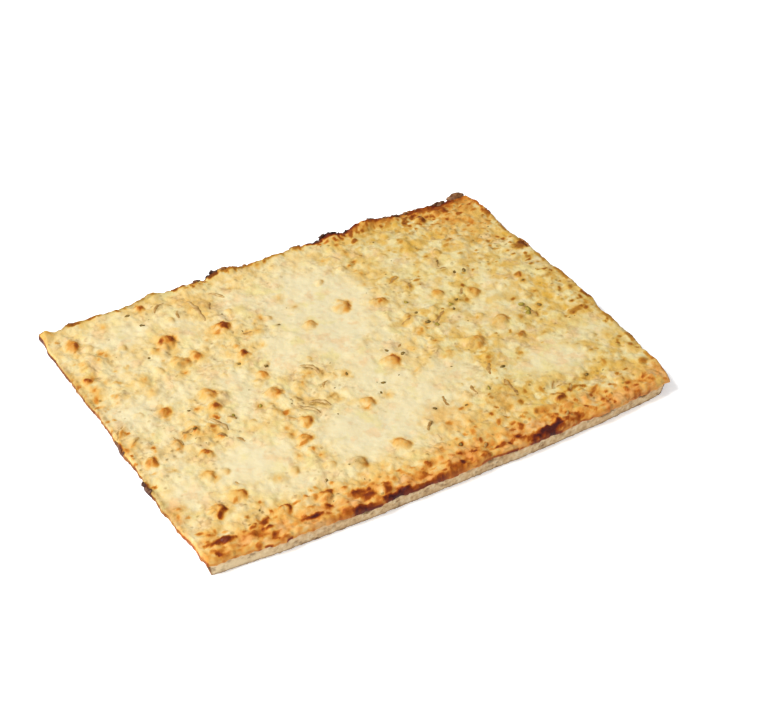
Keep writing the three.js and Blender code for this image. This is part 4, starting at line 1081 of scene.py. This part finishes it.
def make_dough():
    deselect_all()
    bpy.ops.mesh.primitive_circle_add(vertices=DOUGH_POINTS, radius=1, fill_type="NGON")
    dough = named_piece("bread_dough")
    bpy.ops.object.mode_set(mode="EDIT")
    bpy.ops.mesh.select_all(action="SELECT")
    for _ in range(DOUGH_ROWS):
        bpy.ops.mesh.extrude_region_move(TRANSFORM_OT_translate={"value": (0, 0, 1)})
    leave_edit()

    plain = mesh_points(dough)
    share = (np.arctan2(plain[:, 1], plain[:, 0]) / (2 * np.pi)) % 1
    level = np.rint(plain[:, 2]) / DOUGH_ROWS
    along = share * 2 * (TRAY_LENGTH + TRAY_WIDTH)
    u, v = perimeter(share)
    z = DOUGH_HEIGHT * (0.25 - 0.25 * np.cos(np.pi * level) + 0.5 * level)
    from_edge = np.minimum(z, DOUGH_HEIGHT - z)
    round_off = np.clip(1 - from_edge / DOUGH_EDGE_RADIUS, 0, 1)
    rounding = DOUGH_EDGE_RADIUS * (1 - np.sqrt(1 - round_off**2))

    is_front = (v == -1) & (np.abs(u) < 1)
    rounding = np.where(is_front & (z < DOUGH_EDGE_RADIUS), FRONT_ROUND * rounding, rounding)
    inner = smooth_step(0, 0.08, level) * (1 - smooth_step(0.95, 1, level))
    open_crumb = smooth_step(-0.08, 0.16, uneven("open_crumb", along, z))
    pores = bubble_field(along / PORE_STRETCH, z, *PORES)[0] * open_crumb
    crumb = 0.8 * uneven("crumb", along, z) + 0.5 * uneven("fine_crumb", along, z)
    pore_depth = np.where(is_front, PORE_DEPTH["front"], PORE_DEPTH["other"])
    crumb_depth = np.where(is_front, CRUMB_DEPTH["front"], CRUMB_DEPTH["other"])
    hollow = np.zeros_like(z)
    plan_x = u * HALF_LENGTH
    for middle, length in CAVITIES:
        reach = np.hypot((plan_x - middle) / (length / 2), (z - CAVITY_LEVEL) / (CAVITY_HEIGHT / 2))
        hollow = np.maximum(hollow, np.sqrt(np.clip(1 - reach**2, 0, 1)) * is_front)
    notch = NOTCH_DEPTH * (1 - smooth_step(0, NOTCH_REACH, level)) * (uneven("notch", along, z) + 0.15)
    inset = LIP_REACH + rounding + inner * (pore_depth * pores - crumb_depth * crumb)
    inset = inset + CAVITY_DEPTH * hollow + notch * is_front

    x, y = plan_point(u, v, inset, False)
    move_x, move_y, _ = rim_trim(u, v)
    low = 1 - np.clip(z / DOUGH_HEIGHT, 0, 1)
    left_lean = LEAN["left"] * (1 - CORNER_UPRIGHT * smooth_step(*CORNER_BAND, y))
    x = x * (1 - low * np.where(x > 0, LEAN["right"], left_lean) / HALF_LENGTH) + TRIM_FOLLOW * move_x
    y = y * (1 - low * np.where(y > 0, LEAN["back"], -FRONT_FOOT) / HALF_WIDTH) + TRIM_FOLLOW * move_y
    y = y + FOOT_WAVES * low * is_front * edge_waves(u * HALF_LENGTH, WAVE_SIDE["front"], False)
    set_mesh_points(dough, to_frame(x, y, z))
    bpy.ops.object.shade_smooth_by_angle(angle=math.radians(CREASE_ANGLE))

    is_cap = (level == 0) | (level == 1)
    front = np.where(is_front & ~is_cap, 1 - smooth_step(0.99, 1, np.abs(u)), 0)
    set_attribute(dough, "crumb", front)
    # Cavities and pores on the front are darkened in the colour: painted shade in the recesses
    set_attribute(dough, "hollow", np.where(is_cap, 0, np.maximum(hollow, 0.8 * pores * front)))
    set_attribute(dough, "height", z / DOUGH_HEIGHT)
    set_attribute(dough, "pale", 1 - smooth_step(-195, -110, plan_x))
    return dough


# Toppings

RAY_START = 100


def cheese_top(cheese, x, y):
    """Height of the cheese at a plan place, in millimetres"""
    start = Vector(((x + SHIFT_X) * MM, (y + SHIFT_Y) * MM, RAY_START * MM))
    hit, place, _, _ = cheese.ray_cast(start, Vector((0, 0, -1)))
    return place.z / MM if hit else DOUGH_HEIGHT


STRIP_STEPS = 14
STRIP_SIDES = 10
STRIP_ENDS = 0.3  # thickness of a strip's ends against its middle
SUNK_PAST = (-140, 20)  # strips at x below or above these lie deeper and are darker
SUNK_DEEPER = 0.2
SUNK_PALENESS = 0.75
SWAY_SIZE = 3.5
SWAY_RISE = 0.25
SWAY_WIDTH = 0.3
LIGHT_TURN = 1.04  # a strip's pale crest is moved to the side that faces the light, a painted highlight, and its edge on the other side is painted shade


def strip_part(cheese, strip, section):
    """A bent strip half sunk in the cheese, and 1 along its crest, 0 along its edges; the crest is moved
    towards the light as a painted highlight
    """
    x, y, length, turn, bend = strip
    width, thickness, proud, pale = section
    if not SUNK_PAST[0] <= x <= SUNK_PAST[1]:
        proud = proud - SUNK_DEEPER
        pale = SUNK_PALENESS
    angle = math.radians(turn)
    around = np.linspace(0, 2 * np.pi, STRIP_SIDES, endpoint=False)
    rings = []
    for step in range(STRIP_STEPS + 1):
        share = step / STRIP_STEPS
        reach = (share - 0.5) * length
        side = 4 * bend * share * (1 - share)
        place_x = x + math.cos(angle) * reach - math.sin(angle) * side
        place_y = y + math.sin(angle) * reach + math.cos(angle) * side
        heading = angle + math.atan2(4 * bend * (1 - 2 * share), length)
        taper = STRIP_ENDS + (1 - STRIP_ENDS) * math.sin(math.pi * (0.03 + 0.94 * share)) ** 0.5
        sway = noise.noise(Vector((place_x / SWAY_SIZE, place_y / SWAY_SIZE, 0)))
        level = cheese_top(cheese, place_x, place_y) + proud + SWAY_RISE * sway
        across = np.cos(around) * width / 2 * taper * (1 + SWAY_WIDTH * sway)
        upright = np.sin(around) * thickness / 2 * taper
        rings.append(to_frame(
            place_x - math.sin(heading) * across, place_y + math.cos(heading) * across, level + upright,
        ))
    faces = []
    for step in range(STRIP_STEPS):
        for side in range(STRIP_SIDES):
            after = (side + 1) % STRIP_SIDES
            first = step * STRIP_SIDES
            second = first + STRIP_SIDES
            faces.append((first + side, first + after, second + after, second + side))
    faces.append(tuple(range(STRIP_SIDES))[::-1])
    faces.append(tuple(STRIP_STEPS * STRIP_SIDES + side for side in range(STRIP_SIDES)))
    # The pale crest leans to the side that faces the light: painted highlight, with painted shade on the
    # other edge
    away_from_light = 0.5 if math.cos(angle + LIGHT_TURN) > 0 else -0.5
    crest = np.clip(np.sin(around) - away_from_light * np.cos(around), 0, 1)
    return np.concatenate(rings), faces, np.tile(pale * crest, STRIP_STEPS + 1)


def make_onion_strips(cheese):
    strips = [strip_part(cheese, strip, BROAD_STRIP) for strip in BROAD_STRIPS]
    strips += [strip_part(cheese, strip, THIN_STRIP) for strip in THIN_STRIPS]
    onion = joined_mesh("onion_strips", [(points, faces) for points, faces, _ in strips])
    set_attribute(onion, "crest", np.concatenate([crest for _, _, crest in strips]))
    return onion


# Flakes: how much broader than noted they are laid, and by kind thickness and height over the cheese
FLAKE_SIDES = 7
FLAKE_ROOT = 0.9  # how deep a flake reaches into the cheese
FLAKE_PEAK = 1.7  # height of its middle, in thicknesses
FLAKE_BROADER = 1.45
FLAKE_RADIUS = (0.55, 1.2)
FLAKE_STRETCH = (0.5, 0.9)
FLAKE_TILT = 0.2
HERB_KIND = (0.3, 0.1)
FINE_KIND = (0.15, -0.1)
GREEN_KIND = (0.4, 0.1)
FINE_FLAKES = 60
FINE_SIZE = (1.2, 2.4)
FINE_REACH = (200, 395, 145)  # right end, length to the left of it, and half width of their area
FINE_CROWDING = 1.4  # above 1 they crowd towards the right
HERB_SEED = 149
GREEN_SEED = 157


def flake_part(cheese, random, x, y, size, kind):
    """A small bent flake that lies in the cheese"""
    thickness, proud = kind
    level = cheese_top(cheese, x, y) + proud
    around = np.linspace(0, 2 * np.pi, FLAKE_SIDES, endpoint=False) + random.uniform(0, 6)
    radius = size / 2 * random.uniform(*FLAKE_RADIUS, FLAKE_SIDES)
    stretch = random.uniform(*FLAKE_STRETCH)
    turn = random.uniform(0, np.pi)
    away_x = radius * np.cos(around)
    away_y = radius * np.sin(around) * stretch
    place_x = x + away_x * math.cos(turn) - away_y * math.sin(turn)
    place_y = y + away_x * math.sin(turn) + away_y * math.cos(turn)
    tilt = random.uniform(-FLAKE_TILT, FLAKE_TILT, 2)
    lean = tilt[0] * (place_x - x) + tilt[1] * (place_y - y)
    low = to_frame(place_x, place_y, level + lean - FLAKE_ROOT)
    high = to_frame(place_x, place_y, level + lean + thickness)
    peak = to_frame(np.array([x]), np.array([y]), np.array([level + FLAKE_PEAK * thickness]))
    faces = [tuple(range(FLAKE_SIDES))[::-1]]
    for side in range(FLAKE_SIDES):
        after = (side + 1) % FLAKE_SIDES
        faces.append((side, after, FLAKE_SIDES + after, FLAKE_SIDES + side))
        faces.append((FLAKE_SIDES + side, FLAKE_SIDES + after, 2 * FLAKE_SIDES))
    return np.concatenate([low, high, peak]), faces


def noted_flakes(cheese, random, flakes, kind):
    return [flake_part(cheese, random, x, y, FLAKE_BROADER * size, kind) for x, y, size in flakes]


def make_herb_flakes(cheese):
    random = np.random.default_rng(HERB_SEED)
    parts = noted_flakes(cheese, random, HERB_FLAKES, HERB_KIND)
    right_end, length, half_width = FINE_REACH
    for _ in range(FINE_FLAKES):
        x = right_end - length * random.random() ** FINE_CROWDING
        y = random.uniform(-half_width, half_width)
        size = random.uniform(*FINE_SIZE)
        if not in_pool(x, y):
            parts.append(flake_part(cheese, random, x, y, size, FINE_KIND))
    return joined_mesh("herb_flakes", parts)


def make_green_bits(cheese):
    random = np.random.default_rng(GREEN_SEED)
    return joined_mesh("green_bits", noted_flakes(cheese, random, GREEN_BITS, GREEN_KIND))


CRAG_SEED = 163
CRAG_PITCH = 5
# Least and most of what each crag draws: place in its pitch, inset, share of the rise, half height,
# half length in pitches, half breadth, and how much blacker than noted
CRAG_PLACE = (0.2, 0.8)
CRAG_INSET = (0.2, 1.7)
CRAG_RISE = (0.5, 1.1)
CRAG_HEIGHT = (0.8, 1.4)
CRAG_LENGTH = (0.5, 0.8)
CRAG_BREADTH = (0.9, 1.6)
CRAG_BLACKER = (-0.15, 0.1)
CRAG_ROUGH = 0.75
CRAG_SINK = 0.5  # how far a crag's plain top lies under the cheese's
CRAG_GRAIN = 2.2  # size of the lumps on a crag
CRAG_RANGE = (0.35, 1.6)
CORNER_ROUGH = 0.3
CORNER_BLACK = 0.55


def crag_lumps(random):
    """Small burnt lumps along the rim: place, half sizes, roughness of form and blackness"""
    lumps = []
    for side, at, length, rise, black in by_side(CRAGS):
        along_x, outward = side_axes(side)
        count = max(1, round(length / CRAG_PITCH))
        for i in range(count):
            place = at + length * ((i + random.uniform(*CRAG_PLACE)) / count - 0.5)
            middle = 1 - (2 * (place - at) / length) ** 2
            u = np.array(place / HALF_LENGTH if along_x else float(outward))
            v = np.array(float(outward) if along_x else place / HALF_WIDTH)
            x, y = plan_point(u, v, random.uniform(*CRAG_INSET), True)
            move_x, move_y, up = rim_trim(u, v)
            over = rise * (0.4 + 0.6 * middle) * random.uniform(*CRAG_RISE)
            top = DOUGH_HEIGHT + CHEESE_HEIGHT - CRAG_SINK + 0.9 * up + over
            half_height = random.uniform(*CRAG_HEIGHT) + 0.5 * over
            half_along = length / count * random.uniform(*CRAG_LENGTH)
            half_across = random.uniform(*CRAG_BREADTH)
            half_x, half_y = (half_along, half_across) if along_x else (half_across, half_along)
            shade = black + random.uniform(*CRAG_BLACKER)
            half_sizes = (half_x, half_y, half_height)
            lumps.append((x + move_x, y + move_y, top - half_height, *half_sizes, CRAG_ROUGH, shade))
    lumps.append((*CORNER_LUMP, CORNER_ROUGH, CORNER_BLACK))
    return lumps


def make_burnt_crags():
    pieces = []
    shades = []
    for *numbers, rough, shade in crag_lumps(np.random.default_rng(CRAG_SEED)):
        deselect_all()
        bpy.ops.mesh.primitive_ico_sphere_add(subdivisions=3, radius=1)
        crag = bpy.context.object
        middle = np.array(numbers[:3], dtype=float)
        form = mesh_points(crag) * np.array(numbers[3:], dtype=float)
        swell = np.array([noise.fractal(Vector(place / CRAG_GRAIN), 0.8, 2.1, 4) for place in middle + form])
        swell = np.clip(1 + rough * swell, *CRAG_RANGE)
        set_mesh_points(crag, to_frame(*(middle + swell[:, None] * form).T))
        pieces.append(crag)
        shades.append(np.full(len(form), shade))
    deselect_all()
    for crag in pieces:
        crag.select_set(True)
    bpy.context.view_layer.objects.active = pieces[0]
    bpy.ops.object.join()
    crags = named_piece("burnt_crags")
    bpy.ops.object.shade_smooth()
    set_attribute(crags, "black", np.concatenate(shades))
    return crags


# Materials

LIGHT_ON_TOP = 1.5  # how bright the light makes a level surface, against its own colour


def srgb(red, green, blue):
    """A colour as it should look on the lit top, from 0 to 255, as a surface colour"""
    channels = []
    for value in (red, green, blue):
        value = value / 255
        linear = value / 12.92 if value <= 0.04045 else ((value + 0.055) / 1.055) ** 2.4
        channels.append(linear / LIGHT_ON_TOP)
    return (*channels, 1)


def baked_grain_group():
    """Mottling and fine grain of baked food, at sizes in millimetres"""
    group = bpy.data.node_groups.new("baked_grain", "ShaderNodeTree")
    group.interface.new_socket("Place", in_out="INPUT", socket_type="NodeSocketVector")
    for name in ("Mottle Size", "Grain Size", "Seed"):
        group.interface.new_socket(name, in_out="INPUT", socket_type="NodeSocketFloat")
    start = group.nodes.new("NodeGroupInput")
    end = group.nodes.new("NodeGroupOutput")
    for name in ("Mottle", "Grain"):
        group.interface.new_socket(name, in_out="OUTPUT", socket_type="NodeSocketFloat")
        scale = group.nodes.new("ShaderNodeMath")
        scale.operation = "DIVIDE"
        scale.inputs[0].default_value = 1 / MM
        texture = group.nodes.new("ShaderNodeTexNoise")
        texture.noise_dimensions = "4D"
        texture.inputs["Detail"].default_value = 2.5
        texture.inputs["Roughness"].default_value = 0.55
        group.links.new(start.outputs[name + " Size"], scale.inputs[1])
        group.links.new(scale.outputs[0], texture.inputs["Scale"])
        group.links.new(start.outputs["Place"], texture.inputs["Vector"])
        group.links.new(start.outputs["Seed"], texture.inputs["W"])
        group.links.new(texture.outputs["Fac"], end.inputs[name])
    return group


BAKED_GRAIN = baked_grain_group()
# Sockets of a mix node for colours
MIX_FIRST = 6
MIX_SECOND = 7
MIX_RESULT = 2


class Surface:
    """A new material with a Principled shader, and short ways to add and link its nodes"""

    def __init__(self, name):
        self.material = bpy.data.materials.new(name)
        self.material.use_nodes = True
        self.tree = self.material.node_tree
        self.shader = self.tree.nodes["Principled BSDF"]
        self.place = self.add("ShaderNodeTexCoord").outputs["Object"]

    def add(self, kind, inputs=None, **settings):
        """A new node with its settings, and its inputs by name or number"""
        node = self.tree.nodes.new(kind)
        for name, value in settings.items():
            setattr(node, name, value)
        for name, value in (inputs or {}).items():
            self.feed(node.inputs[name], value)
        return node

    def feed(self, socket, value):
        if isinstance(value, bpy.types.NodeSocket):
            self.tree.links.new(value, socket)
        else:
            socket.default_value = value

    def set(self, name, value):
        self.feed(self.shader.inputs[name], value)

    def attribute(self, name):
        return self.add("ShaderNodeAttribute", attribute_name=name).outputs["Fac"]

    def grain(self, mottle_size, grain_size, seed):
        """The shared mottling and grain, at sizes in millimetres"""
        inputs = {"Place": self.place, "Mottle Size": mottle_size, "Grain Size": grain_size, "Seed": seed}
        node = self.add("ShaderNodeGroup", inputs, node_tree=BAKED_GRAIN)
        return node.outputs["Mottle"], node.outputs["Grain"]

    def noise(self, size, detail, roughness, seed):
        inputs = {"Vector": self.place, "Scale": 1 / (size * MM), "Detail": detail, "Roughness": roughness}
        return self.add("ShaderNodeTexNoise", {**inputs, "W": seed}, noise_dimensions="4D").outputs["Fac"]

    def spots(self, pitch, speckle, ragged, fade, least_draw):
        """Spots with ragged edges at scattered points, each of a strength of its own"""
        inputs = {"Vector": self.place, "Scale": 1 / (pitch * MM)}
        node = self.add("ShaderNodeTexVoronoi", inputs, voronoi_dimensions="2D")
        draw = self.add("ShaderNodeSeparateColor", {"Color": node.outputs["Color"]})
        far = self.math("MULTIPLY_ADD", speckle, ragged, node.outputs["Distance"])
        return self.times(self.span(far, *fade), self.span(draw.outputs["Red"], least_draw, 1))

    def math(self, operation, *values):
        return self.add("ShaderNodeMath", dict(enumerate(values)), operation=operation).outputs[0]

    def times(self, first, second):
        return self.math("MULTIPLY", first, second)

    def span(self, value, low, high, to_low=0.0, to_high=1.0):
        inputs = {"Value": value, "From Min": low, "From Max": high, "To Min": to_low, "To Max": to_high}
        return self.add("ShaderNodeMapRange", inputs, interpolation_type="SMOOTHSTEP").outputs["Result"]

    def ramp(self, value, stops):
        """Colours along a value, each stop a position and the colour's red, green and blue"""
        node = self.add("ShaderNodeValToRGB", {"Fac": value})
        elements = node.color_ramp.elements
        while len(elements) < len(stops):
            elements.new(0.5)
        for element, (position, *colour) in zip(elements, stops):
            element.position = position
            element.color = srgb(*colour)
        return node.outputs["Color"]

    def mix(self, share, first, second):
        inputs = {"Factor": share, MIX_FIRST: first, MIX_SECOND: second}
        return self.add("ShaderNodeMix", inputs, data_type="RGBA").outputs[MIX_RESULT]

    def bump(self, height, strength, depth):
        inputs = {"Strength": strength, "Distance": depth * MM, "Height": height}
        self.set("Normal", self.add("ShaderNodeBump", inputs).outputs["Normal"])

    def baked(self, colour, mottle, roughness, shine):
        """The material in a colour, with its least and most roughness laid out by the mottling"""
        self.set("Base Color", colour)
        self.set("Roughness", self.span(mottle, 0.3, 0.7, *roughness))
        self.set("Specular IOR Level", shine)
        return self.material


ORANGE_BAKE = [
    (0, 245, 231, 188), (0.13, 243, 219, 160), (0.26, 239, 197, 118), (0.38, 235, 174, 84),
    (0.5, 219, 141, 50), (0.62, 183, 97, 22), (0.75, 146, 64, 8), (0.87, 116, 42, 14), (1, 68, 22, 24),
]
OLIVE_BAKE = [
    (0, 243, 230, 182), (0.13, 238, 217, 152), (0.26, 228, 193, 108), (0.38, 212, 163, 68),
    (0.5, 186, 128, 40), (0.62, 152, 94, 24), (0.75, 128, 72, 16), (0.87, 102, 46, 14), (1, 66, 30, 20),
]


def cheese_material():
    surface = Surface("melted_cheese")
    bake = surface.attribute("bake")
    busy = surface.attribute("busy")
    golden = surface.attribute("golden")
    clouds, _ = surface.grain(13, 4, 0)
    patches, speckle = surface.grain(8, 3.4, 1)
    tint, _ = surface.grain(20, 4, 2)
    blush, _ = surface.grain(11, 4, 3)
    fold = surface.noise(12, 2, 0.5, 4)
    rough = surface.noise(4, 2, 0.5, 5)
    soft = surface.noise(12, 1, 0.4, 6)

    spot = surface.spots(12, speckle, 0.4, (0.66, 0.28), 0.4)
    mottle = surface.math("MULTIPLY_ADD", spot, 0.12, surface.span(patches, 0.46, 0.68, 0, 0.16))
    mottle = surface.times(mottle, surface.span(bake, 0.15, 0.4, 1, 0.3))
    bake = surface.math("MULTIPLY_ADD", mottle, golden, bake)
    broken = surface.math("SUBTRACT", speckle, 0.5)
    bake = surface.math("MULTIPLY_ADD", broken, surface.span(bake, 0.1, 0.5, 0.02, 0.2), bake)
    colour = surface.mix(
        surface.attribute("warm"), surface.ramp(bake, OLIVE_BAKE), surface.ramp(bake, ORANGE_BAKE))

    milk = surface.math("MAXIMUM", surface.span(tint, 0.54, 0.7, 0, 0.6), surface.attribute("milky"))
    curds = surface.times(surface.span(soft, 0.5, 0.36, 0, 0.9), golden)
    golden = surface.times(surface.span(clouds, 0.4, 0.6, 0.2, 1), golden)
    golden = surface.times(golden, surface.span(soft, 0.42, 0.58, 0.2, 1.2))
    green = surface.span(tint, 0.47, 0.32, 0, 0.6)
    pink = surface.span(blush, 0.52, 0.68, 0, 0.55)
    pale = surface.span(bake, 0.1, 0.45, 1, 0)
    for share, pale_colour in (
        (milk, srgb(241, 228, 186)), (curds, srgb(241, 226, 168)), (golden, srgb(226, 178, 76)),
        (green, srgb(236, 217, 142)), (pink, srgb(244, 203, 148)),
    ):
        colour = surface.mix(surface.times(share, pale), colour, pale_colour)

    rosy = surface.times(surface.span(blush, 0.44, 0.6, 0.05, 0.6), surface.attribute("rosy"))
    rosy = surface.times(rosy, surface.span(bake, 0.4, 0.65, 1, 0))
    colour = surface.mix(rosy, colour, srgb(236, 168, 100))
    fleck = surface.spots(7, speckle, 0.5, (0.52, 0.34), 0.6)
    # Thin dark lines along the folds of a noise darken the cheese as creases would: painted crease shade,
    # drawn in the olive colour
    crease_shade = surface.span(surface.math("ABSOLUTE", surface.math("SUBTRACT", fold, 0.5)), 0.06, 0)
    crease_shade = surface.times(crease_shade, surface.span(blush, 0.5, 0.62, 0, 0.6))
    olive = surface.times(surface.math("MAXIMUM", fleck, crease_shade), busy)
    olive = surface.math("MAXIMUM", olive, surface.attribute("olive"))
    olive = surface.times(olive, surface.span(speckle, 0.35, 0.62, 0.45, 0.9))
    olive = surface.times(olive, surface.span(bake, 0.5, 0.75, 1, 0))
    colour = surface.mix(olive, colour, srgb(150, 112, 50))
    surface.set("Subsurface Weight", 0.08)
    surface.set("Subsurface Radius", (1.0, 0.6, 0.3))
    surface.set("Subsurface Scale", 2 * MM)
    surface.bump(surface.times(rough, surface.span(busy, 0, 0.8, 0.5, 2)), 0.5, 0.8)
    return surface.baked(colour, patches, (0.42, 0.62), 0.12)


def dough_material():
    surface = Surface("bread_dough")
    height = surface.attribute("height")
    mottle, grain = surface.grain(4, 1.1, 4)
    broad, _ = surface.grain(26, 4, 5)
    crust_mottle, crust_grain = surface.grain(11, 3, 6)
    crumb = surface.ramp(mottle, [(0.28, 192, 155, 110), (0.48, 233, 198, 149), (0.7, 253, 230, 188)])
    crumb = surface.mix(surface.times(surface.attribute("pale"), 0.8), crumb, srgb(255, 230, 184))
    warm = surface.times(surface.span(height, 0.55, 0.95, 0, 0.6), surface.span(broad, 0.35, 0.6))
    crumb = surface.mix(warm, crumb, srgb(232, 182, 120))
    crust = surface.ramp(crust_mottle, [(0.28, 86, 46, 24), (0.48, 142, 86, 42), (0.72, 200, 144, 82)])
    crust = surface.mix(surface.span(crust_grain, 0.5, 0.66, 0, 0.6), crust, srgb(92, 54, 30))
    colour = surface.mix(surface.attribute("crumb"), crust, crumb)
    # Darker towards the bottom edge
    darker_below = surface.times(surface.span(height, 0.04, 0.22, 0.65, 0), surface.span(mottle, 0.2, 0.5))
    colour = surface.mix(darker_below, colour, srgb(136, 106, 78))
    # Cavities and pores darkened: painted shade in the recesses
    colour = surface.mix(surface.times(surface.attribute("hollow"), 0.8), colour, srgb(128, 88, 54))
    surface.bump(grain, 0.5, 0.4)
    return surface.baked(colour, mottle, (0.74, 0.9), 0.1)


def onion_material():
    surface = Surface("browned_onion")
    mottle, grain = surface.grain(4, 0.8, 7)
    edge = surface.ramp(mottle, [(0.32, 146, 106, 50), (0.5, 184, 140, 74), (0.7, 216, 178, 108)])
    core = surface.ramp(mottle, [(0.3, 178, 134, 74), (0.5, 212, 176, 114), (0.7, 234, 206, 146)])
    # Pale core along the crest, partly the onion's own colour and partly painted highlight on the side
    # towards the light
    colour = surface.mix(surface.span(surface.attribute("crest"), 0.7, 1), edge, core)
    surface.bump(grain, 0.3, 0.2)
    return surface.baked(colour, mottle, (0.4, 0.58), 0.15)


def leaf_material(name, dark, middle, light):
    surface = Surface(name)
    mottle, grain = surface.grain(2, 0.7, 8)
    colour = surface.ramp(mottle, [(0.3, *dark), (0.5, *middle), (0.7, *light)])
    surface.bump(grain, 0.4, 0.2)
    return surface.baked(colour, mottle, (0.55, 0.75), 0.08)


def burnt_material():
    surface = Surface("burnt_cheese")
    mottle, grain = surface.grain(4.5, 1.2, 9)
    brown = surface.ramp(mottle, [(0.3, 126, 76, 38), (0.5, 168, 112, 60), (0.7, 210, 156, 98)])
    black = surface.ramp(mottle, [(0.32, 46, 24, 20), (0.52, 76, 46, 38), (0.7, 146, 112, 94)])
    colour = surface.mix(surface.span(surface.attribute("black"), 0.2, 0.95), brown, black)
    surface.bump(grain, 0.5, 0.4)
    return surface.baked(colour, mottle, (0.42, 0.66), 0.2)


# Stage

FLOOR_HALF = 8
FLOOR_CELLS = 4
FLOOR_GLOW = 0.32
WORLD_STRENGTH = 0.4
# Soft lights: direction from the object, distance, size in metres, and power
LIGHTS = {
    "key": ((-0.95, 0.12, 1.15), 4.0, 1.5, 208),
    "front_fill": ((-0.35, -0.80, 0.85), 2.4, 2.0, 13),
}


def make_floor():
    deselect_all()
    bpy.ops.mesh.primitive_grid_add(
        x_subdivisions=FLOOR_CELLS, y_subdivisions=FLOOR_CELLS, size=2 * FLOOR_HALF)
    floor = named_piece("studio_floor")
    surface = Surface("studio_floor")
    surface.set("Base Color", (0.95, 0.95, 0.95, 1))
    surface.set("Roughness", 0.9)
    surface.set("Specular IOR Level", 0.1)
    surface.set("Emission Color", (1, 1, 1, 1))
    surface.set("Emission Strength", FLOOR_GLOW)
    floor.data.materials.append(surface.material)


def make_lights():
    world = bpy.data.worlds.new("studio")
    world.use_nodes = True
    background = world.node_tree.nodes["Background"]
    background.inputs["Color"].default_value = (1, 1, 1, 1)
    background.inputs["Strength"].default_value = WORLD_STRENGTH
    bpy.context.scene.world = world
    for name, (direction, distance, size, power) in LIGHTS.items():
        light = bpy.data.lights.new(name, "AREA")
        light.energy = power
        light.size = size
        lamp = bpy.data.objects.new(name, light)
        towards = Vector(direction).normalized()
        lamp.location = towards * distance
        lamp.rotation_euler = towards.to_track_quat("Z", "Y").to_euler()
        bpy.context.scene.collection.objects.link(lamp)
    bpy.context.scene.view_settings.view_transform = "Standard"


def make_camera():
    azimuth = math.radians(CAMERA_AZIMUTH)
    elevation = math.radians(CAMERA_ELEVATION)
    back = Vector((
        math.sin(azimuth) * math.cos(elevation), -math.cos(azimuth) * math.cos(elevation),
        math.sin(elevation),
    ))
    target = Vector(((CAMERA_TARGET[0] + SHIFT_X) * MM, (CAMERA_TARGET[1] + SHIFT_Y) * MM, 0))
    lens = bpy.data.cameras.new("photo_camera")
    lens.lens = CAMERA_LENS
    lens.sensor_width = CAMERA_SENSOR
    camera = bpy.data.objects.new("photo_camera", lens)
    camera.location = target + back * CAMERA_DISTANCE * MM
    camera.rotation_euler = back.to_track_quat("Z", "Y").to_euler()
    bpy.context.scene.collection.objects.link(camera)
    bpy.context.scene.camera = camera


def finish_piece(piece, material, replaced=None):
    piece.data.materials.clear()
    piece.data.materials.append(material)
    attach(piece, "root")
    if replaced:
        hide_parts(replaced)


make_camera()
melted_cheese = make_cheese()
bread_dough = make_dough()
bpy.context.view_layer.update()
finish_piece(melted_cheese, cheese_material(), "cheese_topping")
finish_piece(bread_dough, dough_material(), "dough_base")
finish_piece(make_onion_strips(melted_cheese), onion_material())
dried_herb = leaf_material("dried_herb", (98, 76, 32), (138, 110, 52), (178, 148, 82))
finish_piece(make_herb_flakes(melted_cheese), dried_herb)
green_leaf = leaf_material("olive_green_leaf", (146, 126, 42), (178, 154, 62), (208, 184, 98))
finish_piece(make_green_bits(melted_cheese), green_leaf)
finish_piece(make_burnt_crags(), burnt_material())
make_floor()
make_lights()
